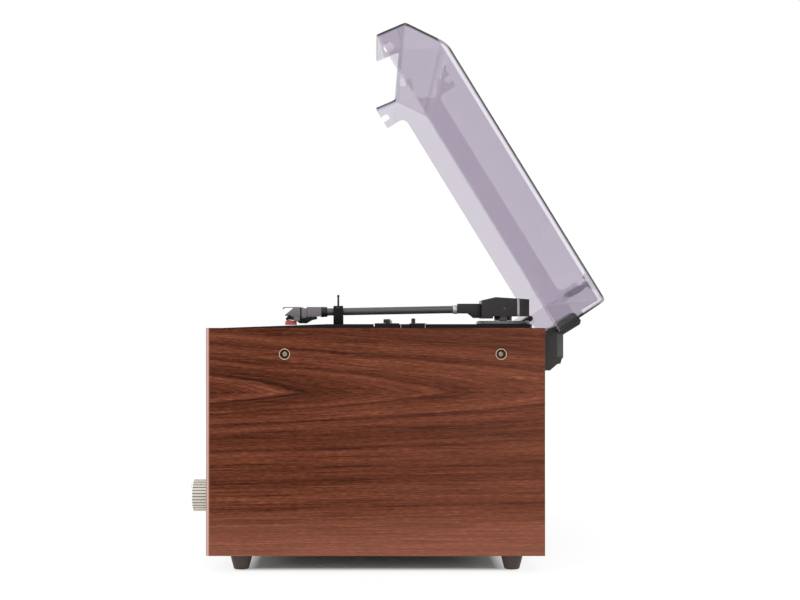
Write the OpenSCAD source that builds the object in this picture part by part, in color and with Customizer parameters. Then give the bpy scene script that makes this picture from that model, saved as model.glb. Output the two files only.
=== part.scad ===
// Stereo music centre: a wooden cabinet with a record deck under a hinged clear cover, two
// loudspeakers, a radio dial and a disc drawer. Millimetres, +Z up, front towards -Y.
// Lengths along Y are counted from the front edges of the side panels, and placed() moves
// them so that the origin lies on the ground under the middle of the whole object.

/* [Cabinet] */
// Width over the side panels
body_w = 440; // [430:1:500]
// Depth of the side panels
body_d = 350; // [348:1:370]
// Height of the side panels
body_h = 235; // [233:1:260]
// Thickness of the side panels
side_t = 15; // [13:0.5:18]
// Thickness of the front board and the bottom board
board_t = 12; // [10:0.5:14]
// Thickness of the back panel
back_t = 4; // [3:0.5:6]
// Depth of the front board behind the side panels' front edges
front_recess = 4; // [3:0.5:6]
// Radius on the front edges of the side panels
edge_r = 4; // [1:0.5:6]
// Width of the rails inside the side panels
rail_w = 16; // [12:1:18]
// Height of the rails inside the side panels
rail_h = 32; // [30:1:40]

/* [Feet and screws] */
// Height of the feet
foot_h = 18; // [14:0.5:24]
// Diameter of a foot at the cabinet
foot_top_d = 25; // [18:0.2:28]
// Diameter of a foot at the ground
foot_base_d = 17.2; // [14:0.2:19]
// Distance of the front feet from the front edge
foot_front = 34; // [30:1:50]
// Distance of the back feet from the back edge
foot_back = 31.4; // [28:1:50]
// Distance of the feet from the sides
foot_side = 28; // [28:1:45]
// Diameter of the wood screws' shanks
screw_d = 3.6; // [3:0.1:4]
// Diameter of the wood screws' heads
screw_head_d = 6.6; // [6:0.1:7]
// Diameter of the ring of a cup washer
cup_d = 11.8; // [10:0.1:14]
// Depth of a cup washer in its panel
cup_depth = 5; // [4:0.5:7]
// Distance of the front side screws from the front edge
side_screw_front = 81.4; // [70:0.1:100]
// Distance of the back side screws from the front edge
side_screw_back = 304.6; // [290:0.1:320]
// Distance of the side screws below the top edge
side_screw_drop = 27; // [22:0.5:32]

/* [Deck] */
// Thickness of the deck plate
deck_t = 4; // [3:0.5:5]
// Depth of the deck's surface below the cabinet's top edge
deck_drop = 0.5; // [0.2:0.1:1.5]
// Height of the raised strip under the tonearm above the deck's surface
strip_rise = 4.5; // [4:0.1:5]
// Distance of the raised strip's inner edge from the middle
strip_x = 142; // [140:1:146]
// Length of the slope at the front of the raised strip
strip_slope = 119; // [100:1:120]
// Distance of the spindle from the middle, towards the left
spindle_left = 17; // [12:1:22]
// Distance of the spindle from the front edge
spindle_y = 192; // [188:1:194]
// Diameter of the spindle's tip
spindle_d = 7.1; // [7:0.05:7.2]
// Height of the spindle above the platter mat
spindle_rise = 8.9; // [7:0.1:12]
// Radius of the platter
platter_r = 138; // [132:0.5:139]
// Thickness of the platter mat
mat_t = 2; // [1.5:0.1:2.5]
// Depth of the platter's rim
rim_h = 11.4; // [10.4:0.1:11.8]
// Radius of the belt's track under the platter
track_r = 80; // [76:0.5:84]
// Depth of the well under the deck's surface, down to its floor
well_depth = 15.5; // [15.5:0.1:18]
// Radius of the motor pulley
pulley_r = 7; // [6:0.1:8]
// Distance between the motor shaft and the spindle
motor_reach = 113; // [111:0.5:115]
// Diameter of the motor
motor_d = 36; // [30:1:40]

/* [Tonearm] */
// Distance of the tonearm's pivot from the right-hand side
arm_side = 60; // [58:0.5:61]
// Distance of the tonearm's pivot from the back edge
arm_back = 37.3; // [36:0.1:40]
// Height of the tilt axis above the raised strip
arm_axis_rise = 16.8; // [16.5:0.1:17.5]
// Downward slope of the arm tube towards the front, in degrees
arm_slope = 1.1; // [0.9:0.05:1.3]
// Radius of the arm tube
tube_r = 4; // [3.5:0.1:4.2]
// Wall of the arm tube
tube_wall = 0.8; // [0.6:0.1:1.2]
// Distance from the pivot to the front end of the arm tube
tube_reach = 193; // [192:0.5:194]
// Distance from the front end of the arm tube to the stylus tip
stylus_reach = 37; // [36.5:0.1:38]
// Radius of the tonearm's base disc
base_r = 28.9; // [27:0.1:30]
// Width of the tonearm's housing
housing_w = 34; // [32:0.5:38]
// Distance from the front end of the arm tube back to the arm rest
rest_reach = 15.5; // [13:0.5:17]

/* [Dust cover] */
// Wall of the dust cover
lid_wall = 2.5; // [2:0.1:3]
// Height of the dust cover
lid_h = 58; // [56:0.5:62]
// Length of the slope at the front of the dust cover
bevel_l = 41; // [38:0.5:46]
// Drop of the slope at the front of the dust cover
bevel_drop = 26; // [22:0.5:27]
// Lean of the front wall, outwards at the bottom
front_lean = 4.8; // [3:0.1:6]
// Lean of the back wall, outwards at the bottom
rear_lean = 2.5; // [2:0.1:3]
// Radius along the long edges of the dust cover
lid_edge_r = 7; // [5:0.5:9]
// Height of the far wall that is left above its cut-away part
far_wall_h = 30; // [26:0.5:34]
// Length of the full-height tab at the front of the far wall
tab_l = 30; // [26:0.5:36]
// Share of the front wall that keeps its full height
front_keep = 0.27; // [0.2:0.01:0.4]
// Height of the rubber feet under the dust cover
bumper_gap = 0.6; // [0.4:0.1:1]
// Angle at which the dust cover stands open
lid_open = 58.4; // [50:0.1:60]
// Distance of the hinge pins behind the cabinet
hinge_back = 8.9; // [8.5:0.1:9.5]
// Depth of the hinge pins below the cabinet's top edge
hinge_drop = 4.2; // [4:0.1:5]
// Distance of the hinges' middles from the sides
hinge_side = 40; // [36:1:60]
// Width of a hinge
hinge_w = 34; // [30:0.5:40]
// Radius of the hinge pins
hinge_pin_r = 1.5; // [1.3:0.1:1.8]

/* [Front] */
// Diameter of the tuning knob and the volume knob
knob_d = 34; // [30:0.5:38]
// Length by which the knobs stand out in front of the side panels
knob_proud = 21; // [18:0.5:24]
// Distance of the knobs from the sides
knob_side = 45; // [42:0.5:50]
// Height of the knobs' axes above the cabinet's bottom edge
knob_rise = 56.7; // [54:0.1:60]
// Radius of the knobs' shafts
shaft_r = 3; // [2.5:0.1:3.5]
// Thickness of the control fascia
fascia_t = 3; // [2.4:0.1:3]
// Height of the fascia's lower strip
strip_h = 80; // [78:1:86]
// Width of the fascia's middle column on each side of the dial window
column_w = 6; // [5:0.5:8]
// Width of the dial window
dial_w = 140; // [134:1:141]
// Height of the dial window
dial_h = 78; // [72:1:79]
// Width of the disc drawer's front
drawer_w = 134; // [133:1:136]
// Height of the disc drawer's front
drawer_h = 24; // [22:0.5:25]
// Length by which the disc drawer comes out
drawer_travel = 128; // [124:1:130]
// Width of a push button
button_w = 20; // [16:0.5:22]
// Height of a push button
button_h = 9; // [8:0.5:11]
// Distance between neighbouring push buttons
button_pitch = 32; // [30:0.5:34]
// Radius of the loudspeakers' openings
speaker_r = 44; // [38:0.5:46]
// Radius of the headphone socket
phones_r = 1.8; // [1.75:0.05:1.85]

/* [Clearances] */
// Gap round a sliding or turning piece
gap = 0.3; // [0.2:0.05:0.4]
// Running clearance on the radius of a shaft or pin
run = 0.05; // [0.02:0.01:0.08]

/* [Hidden] */
$fn = 48;

// Levels and faces of the cabinet
top_z = foot_h + body_h;
inner_x = body_w / 2 - side_t;
front_y = front_recess;
front_back_y = front_recess + board_t;
back_y = body_d - back_t;
floor_z = foot_h + board_t;
deck_z = top_z - deck_drop;
deck_under_z = deck_z - deck_t;
foot_xs = [-(body_w / 2 - foot_side), body_w / 2 - foot_side];
foot_ys = [foot_front, body_d - foot_back];
side_screw_ys = [side_screw_front, side_screw_back];
side_screw_z = top_z - side_screw_drop;
cup_sleeve_r = 4.4;
cup_ring_t = 1;
cup_floor_t = 1;
screw_head_t = 2;
side_screw_l = 22;
foot_screw_l = foot_h - 2;
foot_bore_r = screw_head_d / 2 + 1;
foot_web = 6;
back_screw_rises = [50, 158.5];
back_screw_in = 8;
back_screw_l = 12;

// Deck, platter and drive
strip_z = deck_z + strip_rise;
strip_front = 5;
strip_far_x = inner_x - gap;
spindle_x = -spindle_left;
well_r = platter_r + 5;
well_wall = 3;
well_floor_z = deck_z - well_depth;
platter_top_z = deck_z - 0.1;
platter_t = 3;
mat_r = platter_r - 4;
mat_z = platter_top_z + mat_t;
spindle_tip_z = mat_z + spindle_rise;
spindle_r = spindle_d / 2;
spindle_shaft_r = spindle_r - 0.55;
tip_cone = 2;
boss_r = 14;
boss_h = 8;
bush_r = 9;
bush_flange_r = 14;
bush_flange_t = 2.5;
bush_top_z = well_floor_z + bush_flange_t;
collar_h = platter_top_z - boss_h - bush_top_z - gap;
bush_l = 14;
belt_t = 1;
belt_h = 5;
belt_z = platter_top_z - rim_h + 2;
motor_angle = 139;
motor_x = spindle_x + motor_reach * cos(motor_angle);
motor_y = spindle_y + motor_reach * sin(motor_angle);
motor_h = 26;
motor_shaft_r = 1.5;
motor_shaft_in = 14;
pulley_z = belt_z - 1;
pulley_h = belt_h + 2;

// Tonearm
arm_x = body_w / 2 - arm_side;
arm_y = body_d - arm_back;
arm_z = strip_z + arm_axis_rise;
base_t = 3.5;
base_z = strip_z + base_t;
base_sleeve_r = 8;
base_sleeve_l = 14;
arm_shaft_r = 4;
post_r = 9.5;
post_h = 5;
stem_r = 5;
cross_r = 2;
housing_wall = 2.5;
housing_front = 24.4;
housing_rear = 26.2;
neck_l = 25;
neck_w = 13;
ring_l = 4.8;
ring_r = 4.75;
neck_socket = 14;
shell_w = 16;
tip_reach = tube_reach + stylus_reach;
shell_l = 34.3;
shell_rear = tip_reach - shell_l;
shell_step = tip_reach - 12.5;
shell_top = 2;
stylus_tip_z = mat_z + 1.5;
rest_w = 10.4;
rest_from_pivot = tube_reach - rest_reach;
rest_y = arm_y - rest_from_pivot;
rest_z = arm_z - rest_from_pivot * tan(arm_slope) - tube_r / cos(arm_slope) - gap;
rest_wall = 5.6;
rest_wall_x = arm_x + tube_r + 0.4;
rest_top_z = rest_z + 10.5;
clip_t = 2;
clip_pin_r = 0.8;
clip_z = rest_z + gap + 2 * tube_r + clip_t / 2 + gap;
clip_x = rest_wall_x + rest_wall / 2;
clip_l = 11.4;
ball_r = 1.4;
switch_x = inner_x - 20;
speed_y = rest_y + 51.8;
stop_y = speed_y + 28.1;
switch_pad_rise = 0.9;
speed_travel = 7.5;
stop_travel = 9;
slot_w = 3;
stem_w = slot_w - 2 * gap;

// Dust cover and hinges
seat_z = top_z + bumper_gap;
lid_top_z = seat_z + lid_h;
lid_w = body_w - 1;
pivot_y = body_d + hinge_back;
pivot_z = top_z - hinge_drop;
lid_rear_y = pivot_y;
bevel_y = 2.1 + front_lean;
lid_fold_y = bevel_y + bevel_l;
bevel_z = lid_top_z - bevel_drop;
lid_corner_r = 4;
lid_radii = [0, 0, lid_corner_r, 8, 2];
front_cut_right = lid_w / 2 - front_keep * lid_w;
front_cut_left = -lid_w / 2 + 15;
front_cut_z = bevel_z - 4.5;
far_cut_z = lid_top_z - far_wall_h;
bumper_y = 15;
bumper_l = 9;
bumper_h = 10;
bumper_t = 2;
hinge_notch_h = 7;
hinge_xs = [-(body_w / 2 - hinge_side), body_w / 2 - hinge_side];
hinge_depth = 22;
hinge_h = 40.5;
hinge_cheek = 3;
hinge_ear_r = 4;
hinge_arm_w = hinge_w - 2 * hinge_cheek - 2 * gap;
clamp_z = seat_z + hinge_notch_h;
clamp_h = 22;
clamp_out = 7.6;
clamp_in = 4.2;

// Front
fascia_y = front_y - fascia_t;
fascia_z = foot_h + 16;
fascia_w = 2 * inner_x - 2;
strip_top_z = fascia_z + strip_h;
column_top_z = deck_under_z - 4;
dial_mid_z = column_top_z - 5 - dial_h / 2;
drawer_mid_z = strip_top_z + 4 + drawer_h / 2;
column_half = dial_w / 2 + column_w;
knob_xs = [-(body_w / 2 - knob_side), body_w / 2 - knob_side];
knob_z = foot_h + knob_rise;
knob_ribs = 32;
knob_foot = gap - fascia_y;
knob_cap = 2.5;
rib_depth = 0.9;
shaft_l = 34;
source_z = knob_z + 14;
play_z = knob_z - 16;
button_row_x = -1.5 * button_pitch;
button_proud = 3;
button_travel = 2.5;
button_flange_t = 1.5;
button_stem_l = 9;
phones_x = -3.2 * button_pitch;
phones_z = play_z;
phones_l = 14;
scale_y = front_y + 6;
scale_t = 2;
rail_lip = 3;
pointer_y = scale_y - 2.4;
pointer_t = 1.2;
drawer_wall = 2;
tray_w = drawer_w - 8;
tray_l = 156;
tray_h = 10;
disc_r = 60.5;
disc_hub_r = 19;
disc_dip = 3;
disc_case_t = 3;
disc_case_rear = 14;
disc_case_under = 16;
disc_case_over = 10;
gang = [40, 34, 36];
speaker_mid_x = (inner_x - 1 + column_half) / 2;
speaker_mid_z = (strip_top_z + column_top_z) / 2;
speaker_flange_r = speaker_r + 7;
baffle_x = column_half + 5;
joint_gap = 0.2;
basket_h = 26;
magnet_r = 30;
magnet_h = 14;
cap_r = 12;
cone_h = basket_h - 4;
grille_w = inner_x - 2 - column_half - 2;
grille_h = column_top_z - strip_top_z - 2;

// Middle of the whole object along Y, from the knobs' ends to the open cover's back corner
corner_y = -lid_corner_r;
corner_z = lid_top_z - lid_corner_r - pivot_z;
lid_reach_y = pivot_y + corner_y * cos(lid_open) + corner_z * sin(lid_open) + lid_corner_r;
origin_y = (lid_reach_y - knob_proud) / 2;

// Points of an arc of radius r that rounds the corner b between a and c
function unit(v) = v / norm(v);
function turn(a) = a > 180 ? a - 360 : a < -180 ? a + 360 : a;
function corner(a, b, c, r, n) =
  let (
    u = unit(a - b), w = unit(c - b), half = acos(u * w) / 2,
    mid = b + unit(u + w) * r / sin(half), t = r / tan(half),
    p = b + u * t - mid, q = b + w * t - mid,
    start = atan2(p[1], p[0]), sweep = turn(atan2(q[1], q[0]) - start)
  )
  r <= 0 ? [b] : [for (i = [0:n]) mid + r * [cos(start + sweep * i / n), sin(start + sweep * i / n)]];
function rounded(points, radii, n = 6) =
  let (last = len(points))
  [for (i = [0:last - 1])
    each corner(points[(i + last - 1) % last], points[i], points[(i + 1) % last], radii[i], n)];
// An anticlockwise outline moved inwards by d
function inset(points, d) =
  let (last = len(points))
  [for (i = [0:last - 1])
    let (
      u = unit(points[i] - points[(i + last - 1) % last]),
      w = unit(points[(i + 1) % last] - points[i]),
      m = [-u[1], u[0]], n = [-w[1], w[0]]
    )
    points[i] + (m + n) * d / (1 + m * n)];
function box_points(x0, y0, x1, y1) = [[x0, y0], [x1, y0], [x1, y1], [x0, y1]];

// Outline of the closed dust cover in Y and Z, open at bottom_z
function front_wall_y(z) = bevel_y - front_lean * (bevel_z - z) / (bevel_z - seat_z);
function rear_wall_y(z) = lid_rear_y + rear_lean * (lid_top_z - z) / lid_h;
function lid_points(bottom_z) = [
  [front_wall_y(bottom_z), bottom_z], [rear_wall_y(bottom_z), bottom_z],
  [lid_rear_y, lid_top_z], [lid_fold_y, lid_top_z], [bevel_y, bevel_z]
];
function lid_outline(bottom_z, d) =
  rounded(inset(lid_points(bottom_z), d), [for (r = lid_radii) r > d ? r - d : r / 4]);
// Height of the arm tube's axis at a distance from the pivot
function arm_axis_z(reach) = arm_z - reach * tan(arm_slope);

module placed() translate([0, -origin_y, 0]) children();
// Extrudes an outline in Y and Z from x0 to x1
module across(x0, x1, points)
  translate([x0, 0, 0]) rotate([90, 0, 90]) linear_extrude(x1 - x0) polygon(points);
// Extrudes an outline in X and Z from y0 to y1
module deep(y0, y1, points)
  translate([0, y1, 0]) rotate([90, 0, 0]) linear_extrude(y1 - y0) polygon(points);
// Extrudes an outline in X and Y from z0 to z1
module tall(z0, z1, points)
  translate([0, 0, z0]) linear_extrude(z1 - z0) polygon(points);
module rod_x(x0, x1, y, z, r)
  translate([x0, y, z]) rotate([0, 90, 0]) cylinder(h = x1 - x0, r = r);
module rod_y(y0, y1, x, z, r)
  translate([x, y1, z]) rotate([90, 0, 0]) cylinder(h = y1 - y0, r = r);
module rod_z(z0, z1, x, y, r)
  translate([x, y, z0]) cylinder(h = z1 - z0, r = r);
module block(x0, y0, z0, x1, y1, z1)
  translate([x0, y0, z0]) cube([x1 - x0, y1 - y0, z1 - z0]);
module both_sides() {
  children();
  mirror([1, 0, 0]) children();
}

// Cabinet
module side_panel() {
  outline = rounded(box_points(inner_x, 0, body_w / 2, body_d), [1, edge_r, 1, 0]);
  difference() {
    tall(foot_h, top_z, outline);
    for (y = side_screw_ys) {
      rod_x(inner_x - 1, body_w / 2 + 1, y, side_screw_z, screw_d / 2 + run);
      rod_x(body_w / 2 - cup_depth, body_w / 2 + 1, y, side_screw_z, cup_sleeve_r + run);
    }
  }
}
module side_panel_right() color("sienna") placed() side_panel();
module side_panel_left() color("sienna") placed() mirror([1, 0, 0]) side_panel();

module bottom_board() color("tan") placed() difference() {
  block(-inner_x, front_back_y, foot_h, inner_x, back_y, floor_z);
  for (x = foot_xs, y = foot_ys)
    rod_z(foot_h - 1, foot_h + foot_screw_l - foot_web, x, y, screw_d / 2 + run);
}

module speaker_opening(y0, y1, r)
  both_sides() rod_y(y0, y1, speaker_mid_x, speaker_mid_z, r);

module button_slots(y0, y1, margin) {
  for (i = [0:3], z = [source_z, play_z])
    if (!(i == 3 && z == play_z)) {
      x = button_row_x + i * button_pitch;
      block(x - button_w / 2 - margin, y0, z - button_h / 2 - margin,
            x + button_w / 2 + margin, y1, z + button_h / 2 + margin);
    }
}

// A middle board with the controls, butted between two loudspeaker baffles
module front_board() color("dimgray") placed() difference() {
  block(-inner_x, front_y, foot_h, inner_x, front_back_y, deck_under_z);
  both_sides() block(baffle_x, front_y - 1, foot_h - 1, baffle_x + joint_gap, front_back_y + 1,
                     deck_under_z + 1);
  speaker_opening(front_y - 1, front_back_y + 1, speaker_r);
  for (x = knob_xs) rod_y(front_y - 1, front_back_y + 1, x, knob_z, shaft_r + 1.5);
  rod_y(front_y - 1, front_back_y + 1, phones_x, phones_z, 5 + gap);
  button_slots(front_y - 1, front_back_y + 1, 1.6);
  block(-dial_w / 2 - 3, front_y - 1, dial_mid_z - dial_h / 2 - 3,
        dial_w / 2 + 3, front_back_y + 1, dial_mid_z + dial_h / 2 + 3);
  block(-drawer_w / 2 - gap, front_y - 1, drawer_mid_z - drawer_h / 2 - gap,
        drawer_w / 2 + gap, front_back_y + 1, drawer_mid_z + drawer_h / 2 + gap);
}

inlet_x = -(body_w / 2 - 70);
inlet_z = floor_z + 30;
inlet_w = 28;
inlet_h = 17;
inlet_l = 24;
sockets_x = body_w / 2 - 100;
sockets_z = floor_z + 30;
socket_pitch = 15;
socket_r = 4.2;
socket_neck_r = 3.2;
socket_l = 8;
socket_bore_r = 1.7;
module back_panel() color("saddlebrown") placed() difference() {
  block(-inner_x, back_y, foot_h, inner_x, body_d, deck_under_z);
  block(inlet_x - inlet_w / 2 - gap, back_y - 1, inlet_z - inlet_h / 2 - gap,
        inlet_x + inlet_w / 2 + gap, body_d + 1, inlet_z + inlet_h / 2 + gap);
  for (i = [0:3])
    rod_y(back_y - 1, body_d + 1, sockets_x + (i - 1.5) * socket_pitch, sockets_z,
          socket_neck_r + gap);
  for (i = [0:11]) for (s = [-1, 1])
    deep(back_y - 1, body_d + 1,
      rounded(box_points(s * 45 + i * 5 - 28.5, 110, s * 45 + i * 5 - 26.5, 150), [1, 1, 1, 1], 3));
  both_sides() for (rise = back_screw_rises)
    rod_y(back_y - 1, body_d + 1, inner_x - back_screw_in, foot_h + rise, screw_d / 2 + run);
}

// A rail under each side of the deck, with a post down the back corner for the back panel
module side_rails() color("burlywood") placed() both_sides() difference() {
  union() {
    block(inner_x - rail_w, front_back_y, deck_under_z - rail_h, inner_x, back_y, deck_under_z);
    block(inner_x - rail_w, back_y - rail_w, floor_z, inner_x, back_y, deck_under_z - rail_h);
  }
  for (y = side_screw_ys)
    rod_x(inner_x - rail_w / 2, inner_x + 1, y, side_screw_z, screw_d / 2 + run);
  for (rise = back_screw_rises)
    rod_y(back_y - rail_w / 2 - 1, back_y + 1, inner_x - back_screw_in, foot_h + rise,
          screw_d / 2 + run);
}

module feet() color([0.12, 0.1, 0.09]) placed() for (x = foot_xs, y = foot_ys) difference() {
  translate([x, y, 0]) union() {
    cylinder(h = 1.2, r1 = foot_base_d / 2 - 1.2, r2 = foot_base_d / 2);
    translate([0, 0, 1.2])
      cylinder(h = foot_h - 1.2, r1 = foot_base_d / 2, r2 = foot_top_d / 2);
  }
  rod_z(-1, foot_h - foot_web, x, y, foot_bore_r);
  rod_z(foot_h - foot_web - 1, foot_h + 1, x, y, screw_d / 2 + run);
}

// A pan-head wood screw: the head's under-side at the origin, the shank along +Z
module wood_screw(l) difference() {
  union() {
    translate([0, 0, -screw_head_t]) cylinder(h = screw_head_t, r = screw_head_d / 2);
    cylinder(h = l - 2, r = screw_d / 2);
    translate([0, 0, l - 2]) cylinder(h = 2, r1 = screw_d / 2, r2 = 0.4);
  }
  for (a = [0, 90]) rotate(a)
    translate([-screw_head_d / 4, -0.4, -screw_head_t - 1]) cube([screw_head_d / 2, 0.8, 2]);
}
module side_screws() color("gray") placed() both_sides() for (y = side_screw_ys)
  translate([body_w / 2 - cup_depth + cup_floor_t, y, side_screw_z]) rotate([0, -90, 0])
    wood_screw(side_screw_l - 6);
module small_screws() color("silver") placed() {
  for (x = foot_xs, y = foot_ys)
    translate([x, y, foot_h - foot_web]) wood_screw(foot_screw_l - 2);
  both_sides() for (rise = back_screw_rises)
    translate([inner_x - back_screw_in, body_d, foot_h + rise]) rotate([90, 0, 0])
      wood_screw(back_screw_l);
}
module cup_washer() difference() {
  union() {
    rod_x(body_w / 2, body_w / 2 + cup_ring_t, 0, 0, cup_d / 2);
    rod_x(body_w / 2 - cup_depth, body_w / 2 + cup_ring_t, 0, 0, cup_sleeve_r);
  }
  rod_x(body_w / 2 - cup_depth + cup_floor_t, body_w / 2 + cup_ring_t + 1, 0, 0,
        screw_head_d / 2 + gap);
  rod_x(body_w / 2 - cup_depth - 1, body_w / 2, 0, 0, screw_d / 2 + run);
}
module cup_washers() color("silver") placed() both_sides() for (y = side_screw_ys)
  translate([0, y, side_screw_z]) cup_washer();

// Deck
module switch_pad(y0, y1) {
  difference() {
    block(strip_x, y0 - 1, deck_z, strip_far_x, y1 + 1, strip_z + 1);
    block(strip_x + 1, y0, deck_z - 1, strip_far_x + 1, y1, strip_z + 2);
  }
}
strip_end_y = body_d - 14;
strip_level_y = rest_y - rest_w / 2 - 5;
strip_foot_y = strip_level_y - strip_slope;
strip_points = [
  [strip_foot_y, deck_z - 1], [strip_end_y, deck_z - 1], [strip_end_y, strip_z],
  [strip_level_y, strip_z], [strip_foot_y, deck_z + 0.2]
];
pads = [[speed_y - 13.3, speed_y + 13.3], [stop_y - 3.6, stop_y + 13.2]];
module deck_plate() color([0.1, 0.1, 0.1]) placed() difference() {
  union() {
    block(-strip_far_x, front_y, deck_under_z, strip_far_x, body_d - gap, deck_z);
    rod_z(well_floor_z - well_wall, deck_z, spindle_x, spindle_y, well_r + well_wall);
    across(strip_x, strip_far_x, rounded(strip_points, [0, 0, 2, 60, 0]));
    rod_z(deck_z - 1, strip_z, arm_x, arm_y, base_r + 2);
    for (pad = pads)
      block(strip_x, pad[0], deck_z, strip_far_x, pad[1], strip_z + switch_pad_rise);
  }
  rod_z(well_floor_z, strip_z, spindle_x, spindle_y, well_r);
  rod_z(well_floor_z - 10, deck_z, spindle_x, spindle_y, bush_r + run);
  rod_z(well_floor_z - 10, deck_z, motor_x, motor_y, motor_shaft_r + 2);
  rod_z(deck_under_z - 1, strip_z + 1, arm_x, arm_y, base_sleeve_r + run);
  block(strip_far_x, 0, deck_z - 9, inner_x + 1, body_d, strip_z + 9);
  // A slope that is longer than the deck in front of the arm rest ends at the deck's front
  block(strip_x - 1, strip_foot_y - 9, deck_z, strip_far_x + 1, strip_front, strip_z + 1);
  block(strip_x - 1, strip_foot_y - 9, deck_under_z, strip_far_x + 1, front_y, strip_z + 1);
  // Thin grooves beside the raised pads of the switches
  for (pad = pads, y = pad)
    block(strip_x - 1, y - 0.5, deck_z + 0.5, strip_far_x + 1, y + 0.5, strip_z + 5);
  block(switch_x - slot_w / 2, speed_y - speed_travel - 2, deck_under_z - 1,
        switch_x + slot_w / 2, speed_y + speed_travel + 2, strip_z + 5);
  block(switch_x - slot_w / 2, stop_y - 1 - gap, deck_under_z - 1,
        switch_x + slot_w / 2, stop_y + stop_travel + 1 + gap, strip_z + 5);
}

module spindle_bearing() color("goldenrod") placed() difference() {
  union() {
    rod_z(well_floor_z - bush_l, bush_top_z, spindle_x, spindle_y, bush_r);
    rod_z(well_floor_z, bush_top_z, spindle_x, spindle_y, bush_flange_r);
  }
  rod_z(well_floor_z - bush_l + 2, bush_top_z + 1, spindle_x, spindle_y, spindle_shaft_r + run);
}

module platter() color([0.75, 0.75, 0.77]) placed() translate([spindle_x, spindle_y, 0])
  rotate_extrude($fn = 96) {
    z = platter_top_z;
    polygon([
      [spindle_shaft_r + run, z], [platter_r - 1, z], [platter_r, z - 1],
      [platter_r, z - rim_h], [platter_r - 4, z - rim_h], [platter_r - 4, z - platter_t],
      [track_r, z - platter_t], [track_r, z - rim_h], [track_r - 3, z - rim_h],
      [track_r - 3, z - platter_t], [boss_r, z - platter_t], [boss_r, z - boss_h],
      [spindle_shaft_r + run, z - boss_h]
    ]);
  }

module platter_mat() color([0.13, 0.13, 0.13]) placed() translate([spindle_x, spindle_y, 0])
  rotate_extrude($fn = 96) {
    ring = 9;
    grooves = 6;
    polygon(concat(
      [[spindle_r + 1, platter_top_z], [mat_r, platter_top_z], [mat_r, mat_z]],
      [for (i = [0:grooves - 1], p = [[0, 0], [-0.8, -0.7], [-1.6, 0]])
        [mat_r - 8 - i * (ring + 8) + p[0], mat_z + p[1]]],
      [[spindle_r + 1, mat_z]]
    ));
  }

module spindle() color("silver") placed() {
  rod_z(bush_top_z + gap, bush_top_z + gap + collar_h, spindle_x, spindle_y, 6);
  rod_z(well_floor_z - bush_l + 2 + gap, mat_z + gap, spindle_x, spindle_y, spindle_shaft_r);
  rod_z(mat_z + gap, spindle_tip_z - tip_cone, spindle_x, spindle_y, spindle_r);
  translate([spindle_x, spindle_y, spindle_tip_z - tip_cone])
    cylinder(h = tip_cone, r1 = spindle_r, r2 = spindle_r - 2);
}

module belt_loop(grow) hull() {
  translate([spindle_x, spindle_y, 0]) circle(r = track_r + grow, $fn = 64);
  translate([motor_x, motor_y, 0]) circle(r = pulley_r + grow, $fn = 32);
}
module drive_belt() color([0.2, 0.2, 0.2]) placed() translate([0, 0, belt_z])
  linear_extrude(belt_h) difference() {
    belt_loop(gap + belt_t);
    belt_loop(gap);
  }

module motor() color("silver") placed() difference() {
  union() {
    rod_z(well_floor_z - well_wall - motor_h, well_floor_z - well_wall, motor_x, motor_y,
          motor_d / 2);
    rod_z(well_floor_z - well_wall - motor_h - 3, well_floor_z - well_wall, motor_x, motor_y, 6);
  }
  rod_z(well_floor_z - well_wall - motor_shaft_in, well_floor_z, motor_x, motor_y,
        motor_shaft_r + run);
}
module motor_pulley() color("goldenrod") placed() {
  rod_z(well_floor_z - well_wall - motor_shaft_in + gap, pulley_z + pulley_h,
        motor_x, motor_y, motor_shaft_r);
  rod_z(pulley_z, pulley_z + pulley_h, motor_x, motor_y, pulley_r - 0.4);
  for (z = [pulley_z, pulley_z + pulley_h - 0.8])
    rod_z(z, z + 0.8, motor_x, motor_y, pulley_r + 1.6);
}

// Tonearm
module tonearm_base() color([0.15, 0.15, 0.15]) placed() translate([arm_x, arm_y, 0])
  rotate_extrude($fn = 64)
    polygon(rounded(
      [
        [arm_shaft_r + run, strip_z - base_sleeve_l], [base_sleeve_r, strip_z - base_sleeve_l],
        [base_sleeve_r, strip_z], [base_r, strip_z], [base_r, base_z],
        [arm_shaft_r + run, base_z]
      ],
      [0, 0, 0, 0, 1.5, 0]));

module arm_pivot() color([0.3, 0.3, 0.3]) placed() {
  rod_z(strip_z - base_sleeve_l + 2, base_z + gap, arm_x, arm_y, arm_shaft_r);
  rod_z(base_z + gap, base_z + gap + post_h, arm_x, arm_y, post_r);
  rod_z(base_z + gap, arm_z + 3.5, arm_x, arm_y, stem_r);
  rod_x(arm_x - housing_w / 2 + 0.5, arm_x + housing_w / 2 - 0.5, arm_y, arm_z, cross_r);
}

module arm_housing() color([0.16, 0.15, 0.15]) placed() difference() {
  across(arm_x - housing_w / 2, arm_x + housing_w / 2, rounded(
    [
      [arm_y - housing_front, arm_z - 10.8], [arm_y - 12.2, arm_z - 10.8],
      [arm_y - 12.2, arm_z - 8.4], [arm_y + housing_rear, arm_z - 8.4],
      [arm_y + housing_rear, arm_z + 9.7], [arm_y - 9.7, arm_z + 12],
      [arm_y - housing_front, arm_z + 8.6]
    ],
    [1, 0.5, 0.5, 2, 5, 4, 3]));
  block(arm_x - housing_w / 2 + housing_wall, arm_y - housing_front + housing_wall + 8,
        arm_z - 20, arm_x + housing_w / 2 - housing_wall, arm_y + housing_rear - housing_wall,
        arm_z + 7);
  rod_x(arm_x - housing_w, arm_x + housing_w, arm_y, arm_z, cross_r + run);
}

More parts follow.
